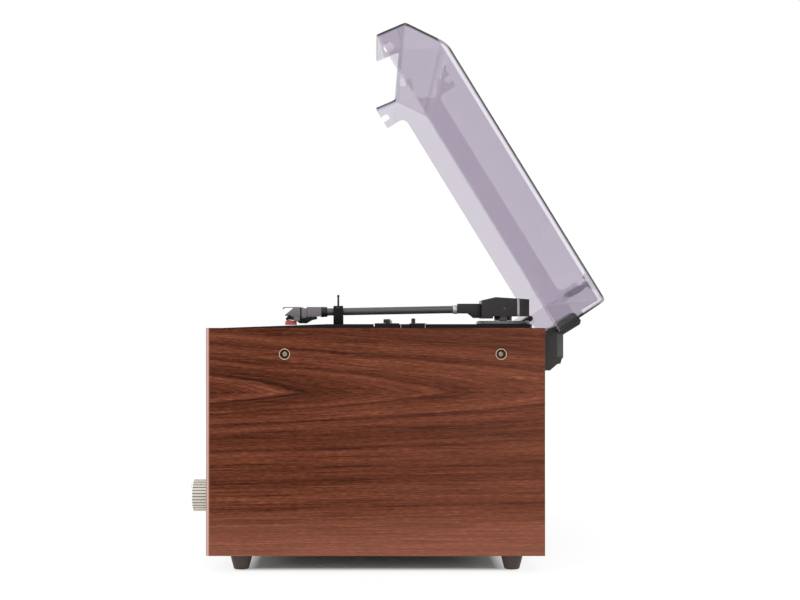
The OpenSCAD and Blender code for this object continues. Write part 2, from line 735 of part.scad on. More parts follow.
module along_arm(from, to, r) translate([arm_x, arm_y, arm_z]) rotate([90 + arm_slope, 0, 0])
  translate([0, 0, from]) cylinder(h = to - from, r = r);
neck_end = housing_front + neck_l;
module arm_neck() color([0.13, 0.13, 0.13]) placed() difference() {
  across(arm_x - neck_w / 2, arm_x + neck_w / 2, rounded(
    [
      [arm_y - neck_end, arm_z - 5.3], [arm_y - 38, arm_z - 5.3], [arm_y - 31.9, arm_z - 10.2],
      [arm_y - housing_front, arm_z - 10.2], [arm_y - housing_front, arm_z + 5.2],
      [arm_y - neck_end, arm_z + 5.2]
    ],
    [1, 2, 2, 0, 0, 1.5]));
  along_arm(neck_end - neck_socket, neck_end + 5, tube_r + run);
}
module arm_tube() color("silver") placed() difference() {
  union() {
    along_arm(neck_end - neck_socket, tube_reach, tube_r);
    along_arm(neck_end + 0.4, neck_end + ring_l, ring_r);
  }
  along_arm(neck_end - neck_socket - 1, tube_reach + 1, tube_r - tube_wall);
}

// Outlines of the pickup's pieces: distance forward of the pivot and height over the tip
function pickup(points) = [for (p = points) [arm_y - p[0], stylus_tip_z + p[1]]];
module headshell() color([0.5, 0.49, 0.5]) placed() {
  difference() {
    union() {
      across(arm_x - shell_w / 2, arm_x + shell_w / 2, pickup([
        [shell_rear, 9.3], [shell_rear, 19.6], [shell_step + 7.2, 19.6],
        [tip_reach + 4.7, 11], [tip_reach + 4.7, 9.9], [tip_reach - 1.7, 9.3]
      ]));
      // Collar that grips the end of the arm tube
      along_arm(tube_reach - 5, shell_rear + 2, tube_r + 2);
    }
    along_arm(tube_reach - 10, tube_reach + run, tube_r + run);
    // Groove round the shell behind its nose
    block(arm_x - shell_w, arm_y - shell_step - 0.9, stylus_tip_z + 18.8,
          arm_x + shell_w, arm_y - shell_step, stylus_tip_z + 30);
    for (s = [-1, 1])
      block(arm_x + s * shell_w / 2 - 0.7, arm_y - shell_step - 0.9, stylus_tip_z,
            arm_x + s * shell_w / 2 + 0.7, arm_y - shell_step, stylus_tip_z + 30);
  }
  // Finger lift with a curled tip
  across(arm_x + 1, arm_x + 7, pickup([
    [shell_step + 4, 19.6], [tip_reach + 5.6, 19.6], [tip_reach + 7.6, 17.4],
    [tip_reach + 6.8, 17], [tip_reach + 5, 18.6], [shell_step + 4, 18.6]
  ]));
}
module cartridge() color([0.08, 0.08, 0.08]) placed() across(arm_x - 6.5, arm_x + 6.5, pickup([
  [shell_rear + 5, 9.3], [shell_rear + 5, 6.5], [tip_reach - 24, 5.4],
  [tip_reach - 18, 1.9], [tip_reach - 11, 1.9], [tip_reach - 7, 5],
  [tip_reach, 6], [tip_reach, 9.3]
]));
module stylus() color([0.85, 0.25, 0.2]) placed() {
  across(arm_x - 4, arm_x + 4, pickup([
    [tip_reach - 11, 1.9], [tip_reach - 7, 5], [tip_reach + 2, 5.9],
    [tip_reach + 4.6, 4], [tip_reach + 5, 0.2], [tip_reach - 7, 0.2]
  ]));
  translate([arm_x, arm_y - tip_reach, stylus_tip_z]) cylinder(h = 1.5, r1 = 0.2, r2 = 0.8);
}

module arm_rest() color([0.1, 0.1, 0.1]) placed() difference() {
  union() {
    block(arm_x - 8, rest_y - rest_w / 2, strip_z, rest_wall_x + rest_wall, rest_y + rest_w / 2,
          rest_z);
    block(rest_wall_x, rest_y - rest_w / 2, strip_z, rest_wall_x + rest_wall,
          rest_y + rest_w / 2, rest_top_z);
  }
  block(rest_wall_x - 1, rest_y - clip_t / 2 - gap, clip_z - clip_t / 2 - gap,
        rest_wall_x + rest_wall + 1, rest_y + clip_t / 2 + gap, rest_top_z + 1);
  rod_y(rest_y - 3.5, rest_y + 3.5, clip_x, clip_z, clip_pin_r + run);
}
module arm_clip() color([0.1, 0.1, 0.1]) placed() {
  block(clip_x - clip_t / 2, rest_y - clip_t / 2, clip_z, clip_x + clip_t / 2,
        rest_y + clip_t / 2, clip_z + clip_l);
  rod_y(rest_y - clip_t / 2, rest_y + clip_t / 2, clip_x, clip_z, clip_t / 2);
  rod_y(rest_y - 3.2, rest_y + 3.2, clip_x, clip_z, clip_pin_r);
  translate([clip_x, rest_y, clip_z + clip_l]) sphere(r = ball_r, $fn = 24);
}

module deck_switch(y, half, rise) {
  z = strip_z + switch_pad_rise + gap;
  block(switch_x - 4, y - half, z, switch_x + 4, y + half, z + rise);
  block(switch_x - stem_w / 2, y - 1, deck_under_z - 3, switch_x + stem_w / 2, y + 1, z);
  block(switch_x - 4, y - 1, deck_under_z - 3, switch_x + 4, y + 1, deck_under_z - gap);
}
module speed_switch() color([0.12, 0.12, 0.12]) placed() deck_switch(speed_y, 3.5, 4.3);
module auto_stop_switch() color([0.12, 0.12, 0.12]) placed() deck_switch(stop_y, 2, 5);

// Dust cover, modelled closed and turned to its open place
module opened() translate([0, pivot_y, pivot_z]) rotate([-lid_open, 0, 0])
  translate([0, -pivot_y, -pivot_z]) children();
module lid_shell(bottom_z, d) {
  r = lid_edge_r - d;
  w = lid_w / 2 - d;
  intersection() {
    across(-w, w, lid_outline(bottom_z, d));
    deep(-30, pivot_y + 30, rounded(box_points(-w, bottom_z, w, lid_top_z - d), [0, 0, r, r]));
    tall(bottom_z, lid_top_z, rounded(
      box_points(-w, front_wall_y(bottom_z) + d, w, rear_wall_y(bottom_z) - d),
      [r, r, r, r]));
  }
}
module dust_cover() color([0.8, 0.76, 0.82, 0.5]) placed() opened() difference() {
  lid_shell(seat_z, 0);
  lid_shell(seat_z - 10, lid_wall);
  // The far wall is cut away between its front tab and the back wall
  across(-lid_w / 2 - 1, -lid_w / 2 + lid_wall + 6, rounded(
    box_points(front_wall_y(seat_z) + tab_l, seat_z - 20, lid_rear_y - 8, far_cut_z),
    [0, 0, 10, 8]));
  // The front wall is cut away on the left
  deep(-30, bevel_y + 12, rounded(
    box_points(front_cut_left, seat_z - 20, front_cut_right, front_cut_z), [0, 0, 6, 6]));
  // Notches in the back wall over the hinges
  for (x = hinge_xs)
    block(x - hinge_w / 2 - 1, body_d, seat_z - 5, x + hinge_w / 2 + 1, pivot_y + 12, clamp_z);
}
module lid_bumper() difference() {
  block(lid_w / 2 - lid_wall - bumper_t, bumper_y, top_z + 0.1, lid_w / 2, bumper_y + bumper_l,
        seat_z + bumper_h);
  block(lid_w / 2 - lid_wall - run, bumper_y - 1, seat_z, lid_w / 2 + 1,
        bumper_y + bumper_l + 1, seat_z + bumper_h + 1);
}
module lid_bumpers() color([0.9, 0.9, 0.9]) placed() opened() both_sides() lid_bumper();

// Hinges
hinge_points = [
  [body_d, top_z - hinge_drop], [body_d, top_z - hinge_drop - hinge_h],
  [body_d + 8.1, top_z - hinge_drop - hinge_h], [body_d + 15.8, top_z - 38.1],
  [body_d + 19.2, top_z - 37.4], [body_d + 20.5, top_z - 32.5],
  [body_d + hinge_depth, top_z - 31], [body_d + hinge_depth, top_z - 6.4],
  [body_d + hinge_depth - 2, top_z - hinge_drop]
];
module hinge_bodies() color([0.12, 0.12, 0.12]) placed() for (x = hinge_xs) difference() {
  union() {
    across(x - hinge_w / 2, x + hinge_w / 2, hinge_points);
    rod_x(x - hinge_w / 2, x + hinge_w / 2, pivot_y, pivot_z, hinge_ear_r);
  }
  across(x - hinge_w / 2 + hinge_cheek, x + hinge_w / 2 - hinge_cheek, [
    [body_d + 2.5, top_z + 5], [body_d + 2.5, top_z - 30], [body_d + hinge_depth - 2, top_z - 30],
    [body_d + hinge_depth - 2, top_z - 17], [body_d + hinge_depth + 1, top_z - 17],
    [body_d + hinge_depth + 1, top_z + 5]
  ]);
  rod_x(x - hinge_w, x + hinge_w, pivot_y, pivot_z, hinge_pin_r + run);
}
module hinge_arms() color([0.12, 0.12, 0.12]) placed() opened() for (x = hinge_xs) {
  half = hinge_arm_w / 2;
  in_y = rear_wall_y(clamp_z) - lid_wall;
  difference() {
    union() {
      rod_x(x - half, x + half, pivot_y, pivot_z, hinge_ear_r);
      across(x - half, x + half, [
        [pivot_y - 3, pivot_z], [pivot_y + 4, pivot_z], [pivot_y + clamp_out + 2, clamp_z - 3],
        [pivot_y + clamp_out + 2, clamp_z + clamp_h - 3],
        [pivot_y + clamp_out - 1, clamp_z + clamp_h],
        [in_y - clamp_in + 2.6, clamp_z + clamp_h - 0.8],
        [in_y - clamp_in, clamp_z + clamp_h - 2.8], [in_y - clamp_in, clamp_z + 1],
        [pivot_y - 2, clamp_z - 3.5]
      ]);
    }
    // Slot that holds the cover's leaning back wall
    across(x - half - 1, x + half + 1, [
      [rear_wall_y(clamp_z) - lid_wall - run, clamp_z], [rear_wall_y(clamp_z) + run, clamp_z],
      [rear_wall_y(lid_top_z) + run, lid_top_z], [rear_wall_y(lid_top_z) - lid_wall - run, lid_top_z]
    ]);
    rod_x(x - hinge_w, x + hinge_w, pivot_y, pivot_z, hinge_pin_r + run);
  }
}
module hinge_pins() color("silver") placed() for (x = hinge_xs) {
  rod_x(x - hinge_w / 2 - 0.6, x + hinge_w / 2 + 0.6, pivot_y, pivot_z, hinge_pin_r);
  for (s = [-1, 1])
    rod_x(x + s * (hinge_w / 2 + 0.6) - 0.6, x + s * (hinge_w / 2 + 0.6) + 0.6, pivot_y, pivot_z,
          hinge_pin_r + 1);
}

// Front
module control_fascia() color([0.75, 0.72, 0.66]) placed() difference() {
  union() {
    deep(fascia_y, front_y, rounded(
      box_points(-fascia_w / 2, fascia_z, fascia_w / 2, strip_top_z), [3, 3, 3, 3]));
    deep(fascia_y, front_y,
      box_points(-column_half, strip_top_z - 2, column_half, column_top_z));
  }
  deep(fascia_y - 1, front_y + 1, rounded(
    box_points(-dial_w / 2, dial_mid_z - dial_h / 2, dial_w / 2, dial_mid_z + dial_h / 2),
    [3, 3, 3, 3]));
  block(-drawer_w / 2 - gap, fascia_y - 1, drawer_mid_z - drawer_h / 2 - gap,
        drawer_w / 2 + gap, front_y + 1, drawer_mid_z + drawer_h / 2 + gap);
  for (x = knob_xs) rod_y(fascia_y - 1, front_y + 1, x, knob_z, shaft_r + gap);
  rod_y(fascia_y - 1, front_y + 1, phones_x, phones_z, 5 + run);
  button_slots(fascia_y - 1, front_y + 1, gap);
}
module dial_window() color([0.85, 0.9, 0.9, 0.4]) placed() deep(fascia_y + 0.3, front_y, rounded(
  box_points(-dial_w / 2 + gap, dial_mid_z - dial_h / 2 + gap, dial_w / 2 - gap,
             dial_mid_z + dial_h / 2 - gap), [3, 3, 3, 3]));
module dial_scale() color([0.93, 0.88, 0.72]) placed() {
  edge = 3 - gap;
  low = dial_mid_z - dial_h / 2 - edge;
  high = dial_mid_z + dial_h / 2 + edge;
  block(-dial_w / 2 - edge, scale_y, low, dial_w / 2 + edge, scale_y + scale_t, high);
  for (z = [low, high - rail_lip])
    block(-dial_w / 2 - edge, scale_y - 3, z, dial_w / 2 + edge, scale_y + 1, z + rail_lip);
}
module dial_pointer() color([0.85, 0.2, 0.15]) placed() {
  half = dial_h / 2 + 3 - gap - rail_lip - gap;
  block(-0.6, pointer_y, dial_mid_z - half, 0.6, pointer_y + pointer_t, dial_mid_z + half);
  for (s = [-1, 1])
    block(-4, pointer_y, dial_mid_z + s * (half - 1.5) - 1.5, 4, scale_y - gap,
          dial_mid_z + s * (half - 1.5) + 1.5);
}

function rib_points(r, ribs) =
  [for (i = [0:ribs - 1], p = [[0, 0], [0.25, 1], [0.5, 1], [0.75, 0]])
    (r - rib_depth * p[1]) * [cos((i + p[0]) * 360 / ribs), sin((i + p[0]) * 360 / ribs)]];
module knob(x) {
  translate([x, 0, knob_z]) rotate([90, 0, 0]) {
    // Ribbed grip between a plain foot and a chamfered cap
    translate([0, 0, knob_foot + 2]) linear_extrude(knob_proud - knob_cap - knob_foot - 2)
      polygon(rib_points(knob_d / 2, knob_ribs));
    translate([0, 0, knob_foot]) cylinder(h = 2.5, r = knob_d / 2 - 2);
    translate([0, 0, knob_proud - knob_cap - 0.5])
      cylinder(h = knob_cap + 0.5, r1 = knob_d / 2 - rib_depth - 0.2, r2 = knob_d / 2 - 3.5);
  }
  rod_y(-knob_foot - 3, front_back_y + shaft_l - 12, x, knob_z, shaft_r);
}
module tuning_knob() color([0.8, 0.77, 0.7]) placed() knob(knob_xs[1]);
module volume_knob() color([0.8, 0.77, 0.7]) placed() knob(knob_xs[0]);

// The case that carries a knob's shaft, screwed to the back of the front board
module shaft_case(x) difference() {
  union() {
    block(x - gang[0] / 2, front_back_y, knob_z - gang[2] / 2, x + gang[0] / 2,
          front_back_y + gang[1], knob_z + gang[2] / 2);
    rod_y(front_y + 2, front_back_y + 1, x, knob_z, shaft_r + 1.4);
  }
  rod_y(0, front_back_y + shaft_l - 11, x, knob_z, shaft_r + run);
}
module tuning_gang() color("gainsboro") placed() shaft_case(knob_xs[1]);
module volume_control() color("gray") placed() shaft_case(knob_xs[0]);

module push_button(i, z) {
  x = button_row_x + i * button_pitch;
  deep(fascia_y - button_proud, front_y + gap, rounded(
    box_points(x - button_w / 2, z - button_h / 2, x + button_w / 2, z + button_h / 2),
    [1, 1, 1, 1], 3));
  block(x - button_w / 2 - 1.2, front_y + gap, z - button_h / 2 - 1.2, x + button_w / 2 + 1.2,
        front_y + gap + button_flange_t, z + button_h / 2 + 1.2);
  block(x - 3, front_y + gap + button_flange_t, z - 2, x + 3,
        front_y + gap + button_flange_t + button_stem_l, z + 2);
}
module power_button() color([0.3, 0.3, 0.3]) placed() push_button(0, source_z);
module radio_button() color([0.8, 0.77, 0.7]) placed() push_button(1, source_z);
module phono_button() color([0.8, 0.77, 0.7]) placed() push_button(2, source_z);
module disc_button() color([0.8, 0.77, 0.7]) placed() push_button(3, source_z);
module play_button() color([0.8, 0.77, 0.7]) placed() push_button(0, play_z);
module stop_button() color([0.8, 0.77, 0.7]) placed() push_button(1, play_z);
module drawer_button() color([0.8, 0.77, 0.7]) placed() push_button(2, play_z);

tray_z = drawer_mid_z - tray_h / 2;
module disc_drawer() color([0.2, 0.2, 0.2]) placed() difference() {
  union() {
    deep(fascia_y - 1, fascia_y + 3, rounded(
      box_points(-drawer_w / 2, drawer_mid_z - drawer_h / 2, drawer_w / 2,
                 drawer_mid_z + drawer_h / 2), [1.5, 1.5, 1.5, 1.5]));
    block(-tray_w / 2, fascia_y + 2, tray_z, tray_w / 2, fascia_y + tray_l, tray_z + tray_h);
  }
  rod_z(tray_z + tray_h - disc_dip, tray_z + tray_h + 1, 0, fascia_y + 6 + disc_r, disc_r);
  rod_z(tray_z - 1, tray_z + tray_h + 1, 0, fascia_y + 6 + disc_r, disc_hub_r);
}
module disc_mechanism() color("silver") placed() difference() {
  w = tray_w / 2 + gap;
  rear_y = fascia_y + tray_l + disc_case_rear;
  low_z = tray_z - gap - disc_case_under;
  block(-w - disc_case_t, front_back_y, low_z, w + disc_case_t, rear_y,
        tray_z + tray_h + disc_case_over + 2);
  block(-w, front_back_y - 1, tray_z - gap, w, rear_y - 2 * disc_case_t,
        tray_z + tray_h + disc_case_over);
  block(-w + 8, front_back_y + disc_case_t, low_z + 2, w - 8, rear_y - 2 * disc_case_t,
        tray_z - gap - 2);
}

module speaker_grilles() color([0.35, 0.27, 0.2]) placed() both_sides()
  deep(fascia_y + 0.5, front_y, rounded(
    box_points(column_half + 1, strip_top_z + 1, column_half + 1 + grille_w,
               strip_top_z + 1 + grille_h), [3, 3, 3, 3]));
module speaker(x) translate([x, front_back_y, speaker_mid_z]) rotate([-90, 0, 0])
  rotate_extrude($fn = 64) polygon([
    [speaker_r - 2, 0], [speaker_flange_r, 0], [speaker_flange_r, 2], [speaker_r + 1, 2],
    [magnet_r - 4, basket_h], [magnet_r, basket_h], [magnet_r, basket_h + magnet_h],
    [0, basket_h + magnet_h], [0, basket_h], [magnet_r - 10, basket_h],
    [magnet_r - 7, basket_h - 2]
  ]);
module speaker_right() color([0.25, 0.25, 0.25]) placed() speaker(speaker_mid_x);
module speaker_left() color([0.25, 0.25, 0.25]) placed() speaker(-speaker_mid_x);
module speaker_cones() color([0.15, 0.15, 0.15]) placed() both_sides()
  translate([speaker_mid_x, front_back_y, speaker_mid_z]) rotate([-90, 0, 0])
    rotate_extrude($fn = 64) polygon([
      [speaker_r - 2 - run, 0], [speaker_r - 2 - run, -1], [speaker_r - 5, -2.5],
      [speaker_r - 8, -1], [cap_r, cone_h - 2], [cap_r - 5, cone_h - 5], [0, cone_h - 6.5],
      [0, cone_h - 5], [cap_r - 6, cone_h - 3.5], [cap_r, cone_h],
      [speaker_r - 7.5, 0.6], [speaker_r - 5, -1]
    ]);

// Electrics
core_w = 48;
core_d = 40;
core_h = 46;
coil_out = 7;
coil_drop = 6;
foot_plate_t = 3;
transformer_side = 90;
transformer_back = 86;
transformer_x = -(body_w / 2 - transformer_side);
transformer_y = back_y - transformer_back;
module transformer() color([0.45, 0.4, 0.35]) placed()
  translate([transformer_x, transformer_y, floor_z]) {
    block(-core_w / 2 - 6, -core_d / 2 - 4, 0, core_w / 2 + 6, core_d / 2 + 4, foot_plate_t);
    block(-core_w / 2, -core_d / 2, foot_plate_t, core_w / 2, core_d / 2, core_h);
    block(-core_w / 3, -core_d / 2 - coil_out, foot_plate_t + coil_drop, core_w / 3,
          core_d / 2 + coil_out, core_h - coil_drop);
  }
board_w = 190;
board_d = 130;
board_rise = 6;
board_t_pcb = 1.6;
board_back = 226;
board_y = back_y - board_back;
can_r = 8;
can_h = 28;
can_pitch = 22;
can_edge_x = 25;
can_edge_y = 40;
sink_size = [50, 30, 22];
sink_place = [30, 20, board_rise];
chip_size = [34, 24, 5];
chip_place = [-20, 40, board_rise];
plug_row_size = [30, 12, 12];
plug_row_place = [-80, 20, board_rise];
module main_board() color([0.1, 0.35, 0.2]) placed() translate([0, board_y, floor_z]) {
  for (x = [-1, 1] * (board_w / 2 - 8), y = [8, board_d - 8])
    translate([x, y, 0]) cylinder(h = board_rise + 1, r = 3.5, $fn = 24);
  translate([-board_w / 2, 0, board_rise]) cube([board_w, board_d, board_t_pcb]);
  // Smoothing capacitors, heat sink, main chip and plugs
  for (i = [0:2])
    translate([can_pitch * i - board_w / 2 + can_edge_x, board_d - can_edge_y, board_rise])
      cylinder(h = can_h, r = can_r, $fn = 32);
  translate(sink_place) cube(sink_size);
  translate(chip_place) cube(chip_size);
  translate(plug_row_place) cube(plug_row_size);
}
module rear_sockets() color([0.8, 0.8, 0.8]) placed() {
  difference() {
    union() {
      block(sockets_x - 2 * socket_pitch, back_y - 16, sockets_z - 12,
            sockets_x + 2 * socket_pitch, back_y, sockets_z + 12);
      for (i = [0:3])
        union() {
          rod_y(back_y - 1, body_d + 1, sockets_x + (i - 1.5) * socket_pitch, sockets_z,
                socket_neck_r);
          rod_y(body_d + gap, body_d + socket_l, sockets_x + (i - 1.5) * socket_pitch, sockets_z,
                socket_r);
        }
    }
    for (i = [0:3])
      rod_y(back_y - 10, body_d + socket_l + 1, sockets_x + (i - 1.5) * socket_pitch, sockets_z,
            socket_bore_r);
  }
  // Headphone socket in the front, on a bracket behind the board
  difference() {
    union() {
      rod_y(fascia_y - 0.5, front_back_y + 1, phones_x, phones_z, 5);
      block(phones_x - 8, front_back_y, phones_z - 8, phones_x + 8, front_back_y + 14,
            phones_z + 8);
    }
    rod_y(fascia_y - 1, fascia_y - 0.5 + phones_l, phones_x, phones_z, phones_r);
  }
}
module mains_inlet() color([0.1, 0.1, 0.1]) placed() {
  difference() {
    union() {
      block(inlet_x - inlet_w / 2, back_y - inlet_l, inlet_z - inlet_h / 2,
            inlet_x + inlet_w / 2, body_d, inlet_z + inlet_h / 2);
      block(inlet_x - inlet_w / 2 - 4, body_d, inlet_z - inlet_h / 2 - 3,
            inlet_x + inlet_w / 2 + 4, body_d + 2, inlet_z + inlet_h / 2 + 3);
    }
    deep(body_d - 14, body_d + 3, rounded(
      box_points(inlet_x - 9, inlet_z - 4.5, inlet_x + 9, inlet_z + 4.5), [4, 4, 4, 4]));
  }
  for (s = [-1, 1]) rod_y(body_d - 15, body_d - 2, inlet_x + s * 5, inlet_z, 1.2);
}

side_panel_right();
side_panel_left();
bottom_board();
front_board();
back_panel();
side_rails();
feet();
side_screws();
cup_washers();
small_screws();
deck_plate();
spindle_bearing();
platter();
platter_mat();
spindle();
drive_belt();
motor();
motor_pulley();
tonearm_base();
arm_pivot();
arm_housing();
arm_neck();
arm_tube();
headshell();
cartridge();
stylus();
arm_rest();
arm_clip();
speed_switch();
auto_stop_switch();
dust_cover();
lid_bumpers();
hinge_bodies();
hinge_arms();
hinge_pins();
control_fascia();
dial_window();
dial_scale();
dial_pointer();
tuning_knob();
volume_knob();
tuning_gang();
volume_control();
power_button();
radio_button();
phono_button();
disc_button();
play_button();
stop_button();
drawer_button();
disc_drawer();
disc_mechanism();
speaker_grilles();
speaker_right();
speaker_left();
speaker_cones();
transformer();
main_board();
rear_sockets();
mains_inlet();
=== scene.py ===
"""Stereo music centre: wooden cabinet, record deck and a smoked cover that stands open"""

from contextlib import contextmanager
import math

import bpy
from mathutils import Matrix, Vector


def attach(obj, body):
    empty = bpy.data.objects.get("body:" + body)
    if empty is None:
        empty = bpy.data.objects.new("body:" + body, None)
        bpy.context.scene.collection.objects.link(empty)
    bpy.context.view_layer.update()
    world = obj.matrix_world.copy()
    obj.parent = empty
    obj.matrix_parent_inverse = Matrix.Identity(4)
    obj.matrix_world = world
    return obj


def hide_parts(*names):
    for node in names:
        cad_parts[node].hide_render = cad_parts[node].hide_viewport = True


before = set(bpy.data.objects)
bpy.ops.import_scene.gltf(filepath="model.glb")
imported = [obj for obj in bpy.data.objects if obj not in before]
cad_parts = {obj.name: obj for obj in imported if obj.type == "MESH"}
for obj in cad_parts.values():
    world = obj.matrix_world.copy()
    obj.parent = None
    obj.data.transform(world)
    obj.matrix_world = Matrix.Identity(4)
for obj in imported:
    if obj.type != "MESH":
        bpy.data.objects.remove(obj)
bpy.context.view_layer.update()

# Sizes in millimetres: x from the cabinet's middle, y back from the side panels' front edges, z up
MM = 0.001
FRONT_EDGE = -194.9428
BODY_DEPTH = 350
PANEL_X = 220
SIDE_SCREW_YS = (81.4, 304.6)
SIDE_SCREW_Z = 226
FOOT_X, FOOT_YS = 192, (34, 318.6)
KNOB_X, KNOB_Z = 175, 74.7
PLATTER = (-17, 192, 0)
ARM = (160, 312.7, 273.8)
ARM_SLOPE = math.radians(1.1)
PIVOT = ARM[1:]
STYLUS = (ARM[1] - 230, 255.9)
REST_Y = 135.2
CLIP_X = 167.2
HINGE = (358.9, 248.8)
HINGE_X = 180
LID_OPEN = math.radians(58.4)
LID_W = 219.5
LID_WALL = 2.5
LID_SEAT = 253.6
LID_TOP = 311.6
LID_NOSE = (6.9, 285.6)
LID_OUTLINE = [(2.1, LID_SEAT), (361.4, LID_SEAT), (358.9, LID_TOP), (47.9, LID_TOP), LID_NOSE]


def spot(x, y, z):
    """A place in the cabinet's millimetres as a point of the frame in metres"""
    return Vector((x, y + FRONT_EDGE, z)) * MM


def tone(*rgb):
    """A colour as the eye reads it, 0 to 255, as the light it stands for"""
    return (*(c / 255 / 12.92 if c < 11 else ((c / 255 + 0.055) / 1.055) ** 2.4 for c in rgb), 1)


# Ways to start and shape a piece
def clear():
    """Nothing stays selected, so the next operator acts on its own piece alone"""
    bpy.ops.object.select_all(action="DESELECT")


def take(piece):
    """Selects one piece alone and makes it the active one"""
    clear()
    piece.select_set(True)
    bpy.context.view_layer.objects.active = piece
    return piece


def settle(name):
    """Names the new piece and bakes its transform into its mesh"""
    piece = take(bpy.context.object)
    piece.name = piece.data.name = name
    bpy.ops.object.transform_apply()
    return piece


def block(name, low, high):
    """A box between two corners"""
    clear()
    low, high = spot(*low), spot(*high)
    bpy.ops.mesh.primitive_cube_add(size=1, location=(low + high) / 2)
    bpy.context.object.scale = high - low
    return settle(name)


@contextmanager
def editing(kind=None):
    """Edit mode, with edges or faces as what is selected"""
    bpy.ops.object.mode_set(mode="EDIT")
    if kind:
        bpy.ops.mesh.select_mode(type=kind)
    yield
    bpy.ops.object.mode_set(mode="OBJECT")


def face_out():
    """Turns all faces of the mesh in edit mode outward"""
    bpy.ops.mesh.select_all(action="SELECT")
    bpy.ops.mesh.normals_make_consistent(inside=False)


def slab(name, outline, low, high, across="x"):
    """A many-sided face with its corners on an outline, extruded across"""
    clear()
    bpy.ops.mesh.primitive_circle_add(vertices=len(outline), fill_type="NGON")
    face = bpy.context.object
    for corner, (a, b) in zip(face.data.vertices, outline):
        corner.co = spot(low, a, b) if across == "x" else spot(a, low, b)
    way = Vector((1, 0, 0)) if across == "x" else Vector((0, 1, 0))
    with editing():
        bpy.ops.mesh.select_all(action="SELECT")
        bpy.ops.mesh.extrude_region_move(TRANSFORM_OT_translate={"value": way * (high - low) * MM})
        face_out()
    return settle(name)


def lathe(name, profile, centre, axis="z", sides=64):
    """A turned piece: a ring, extruded and scaled along (radius, height) pairs"""
    clear()
    radius, height = profile[0]
    tube = profile[0] == profile[-1]
    bpy.ops.mesh.primitive_circle_add(vertices=sides, radius=radius * MM, location=(0, 0, height * MM),
                                      fill_type="NOTHING" if tube else "NGON")
    bpy.ops.object.transform_apply()
    with editing("EDGE"):
        bpy.ops.mesh.select_all(action="SELECT")
        for next_radius, next_height in profile[1:]:
            rise = (0, 0, (next_height - height) * MM)
            bpy.ops.mesh.extrude_edges_move(TRANSFORM_OT_translate={"value": rise})
            share = next_radius / radius
            bpy.ops.transform.resize(value=(share, share, 1), center_override=(0, 0, next_height * MM))
            radius, height = next_radius, next_height
        if not tube:
            bpy.ops.mesh.edge_face_add()
        bpy.ops.mesh.select_all(action="SELECT")
        bpy.ops.mesh.remove_doubles(threshold=1e-6)
        face_out()
    piece = bpy.context.object
    piece.rotation_euler = {"x": (0, math.pi / 2, 0), "y": (math.pi / 2, 0, 0), "z": (0, 0, 0)}[axis]
    piece.location = spot(*centre)
    return settle(name)


def pick_edges(piece, test):
    """Selects the edges whose two ends, in the cabinet's millimetres, pass a test"""
    take(piece)
    mesh = piece.data
    ends = [(v.co / MM) - Vector((0, FRONT_EDGE, 0)) for v in mesh.vertices]
    for group in (mesh.vertices, mesh.polygons):
        group.foreach_set("select", [False] * len(group))
    for edge in mesh.edges:
        edge.select = test(ends[edge.vertices[0]], ends[edge.vertices[1]])


def round_edges(piece, test, width, segments=4):
    """Bevels the edges that pass a test"""
    pick_edges(piece, test)
    with editing("EDGE"):
        bpy.ops.mesh.bevel(offset=width * MM, segments=segments, affect="EDGES")
    return piece


def pick_faces(piece, test):
    """Selects the faces whose centre and normal pass a test"""
    take(piece)
    mesh = piece.data
    for group in (mesh.vertices, mesh.edges):
        group.foreach_set("select", [False] * len(group))
    for face in mesh.polygons:
        face.select = test((face.center / MM) - Vector((0, FRONT_EDGE, 0)), face.normal)


def dish(piece, test, rim, depth, each=False):
    """Insets the faces that pass a test, together or each alone, and pushes them in"""
    pick_faces(piece, test)
    with editing("FACE"):
        bpy.ops.mesh.inset(thickness=rim * MM, depth=-depth * MM, use_individual=each)
    return piece


def apply(piece, kind, **settings):
    """Adds a modifier and applies it"""
    take(piece)
    modifier = piece.modifiers.new(kind.lower(), kind)
    for key, value in settings.items():
        setattr(modifier, key, value)
    bpy.ops.object.modifier_apply(modifier=modifier.name)
    return piece


def soften(piece, width, segments=3):
    """Small rounds on all sharp edges, and smooth shading between them"""
    apply(piece, "BEVEL", width=width * MM, segments=segments, limit_method="ANGLE",
          angle_limit=math.radians(40))
    return smooth(piece)


def smooth(piece, angle=35):
    """Smooth shading, with edges kept where faces meet at more than the angle"""
    take(piece)
    bpy.ops.object.shade_smooth_by_angle(angle=math.radians(angle))
    return piece


def drop(piece):
    """Throws a piece away"""
    take(piece)
    bpy.ops.object.delete()


def carve(piece, tool, operation="DIFFERENCE"):
    """Cuts one piece with another, which is used up"""
    apply(piece, "BOOLEAN", object=tool, operation=operation, solver="EXACT")
    drop(tool)
    return piece


def join(name, first, *others):
    """Makes several pieces one"""
    take(first)
    for other in others:
        other.select_set(True)
    bpy.ops.object.join()
    first.name = first.data.name = name
    return first


def copy_of(piece, name, dx=0, dy=0, dz=0):
    """A copy with its own mesh, moved into its place"""
    take(piece)
    bpy.ops.object.duplicate()
    bpy.context.object.location = (dx * MM, dy * MM, dz * MM)
    return settle(name)


def mirrored(piece, name):
    """A copy for the other side of the cabinet"""
    take(piece)
    bpy.ops.object.duplicate()
    bpy.context.object.scale = (-1, 1, 1)
    other = settle(name)
    with editing():
        face_out()
    return other


def turn_about_x(piece, angle, y, z):
    """Turns a piece about a line along x; a positive angle lifts its front"""
    take(piece)
    centre = spot(0, y, z)
    piece.location = centre
    for vertex in piece.data.vertices:
        vertex.co -= centre
    piece.rotation_euler = (-angle, 0, 0)
    return settle(piece.name)


def fit(piece, body, finish, slot, *nodes):
    """Puts a finished piece on its body, in place of the plain nodes"""
    piece.data.materials.clear()
    piece.data.materials.append(finish)
    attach(piece, body)
    if nodes:
        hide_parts(*nodes)
    return piece


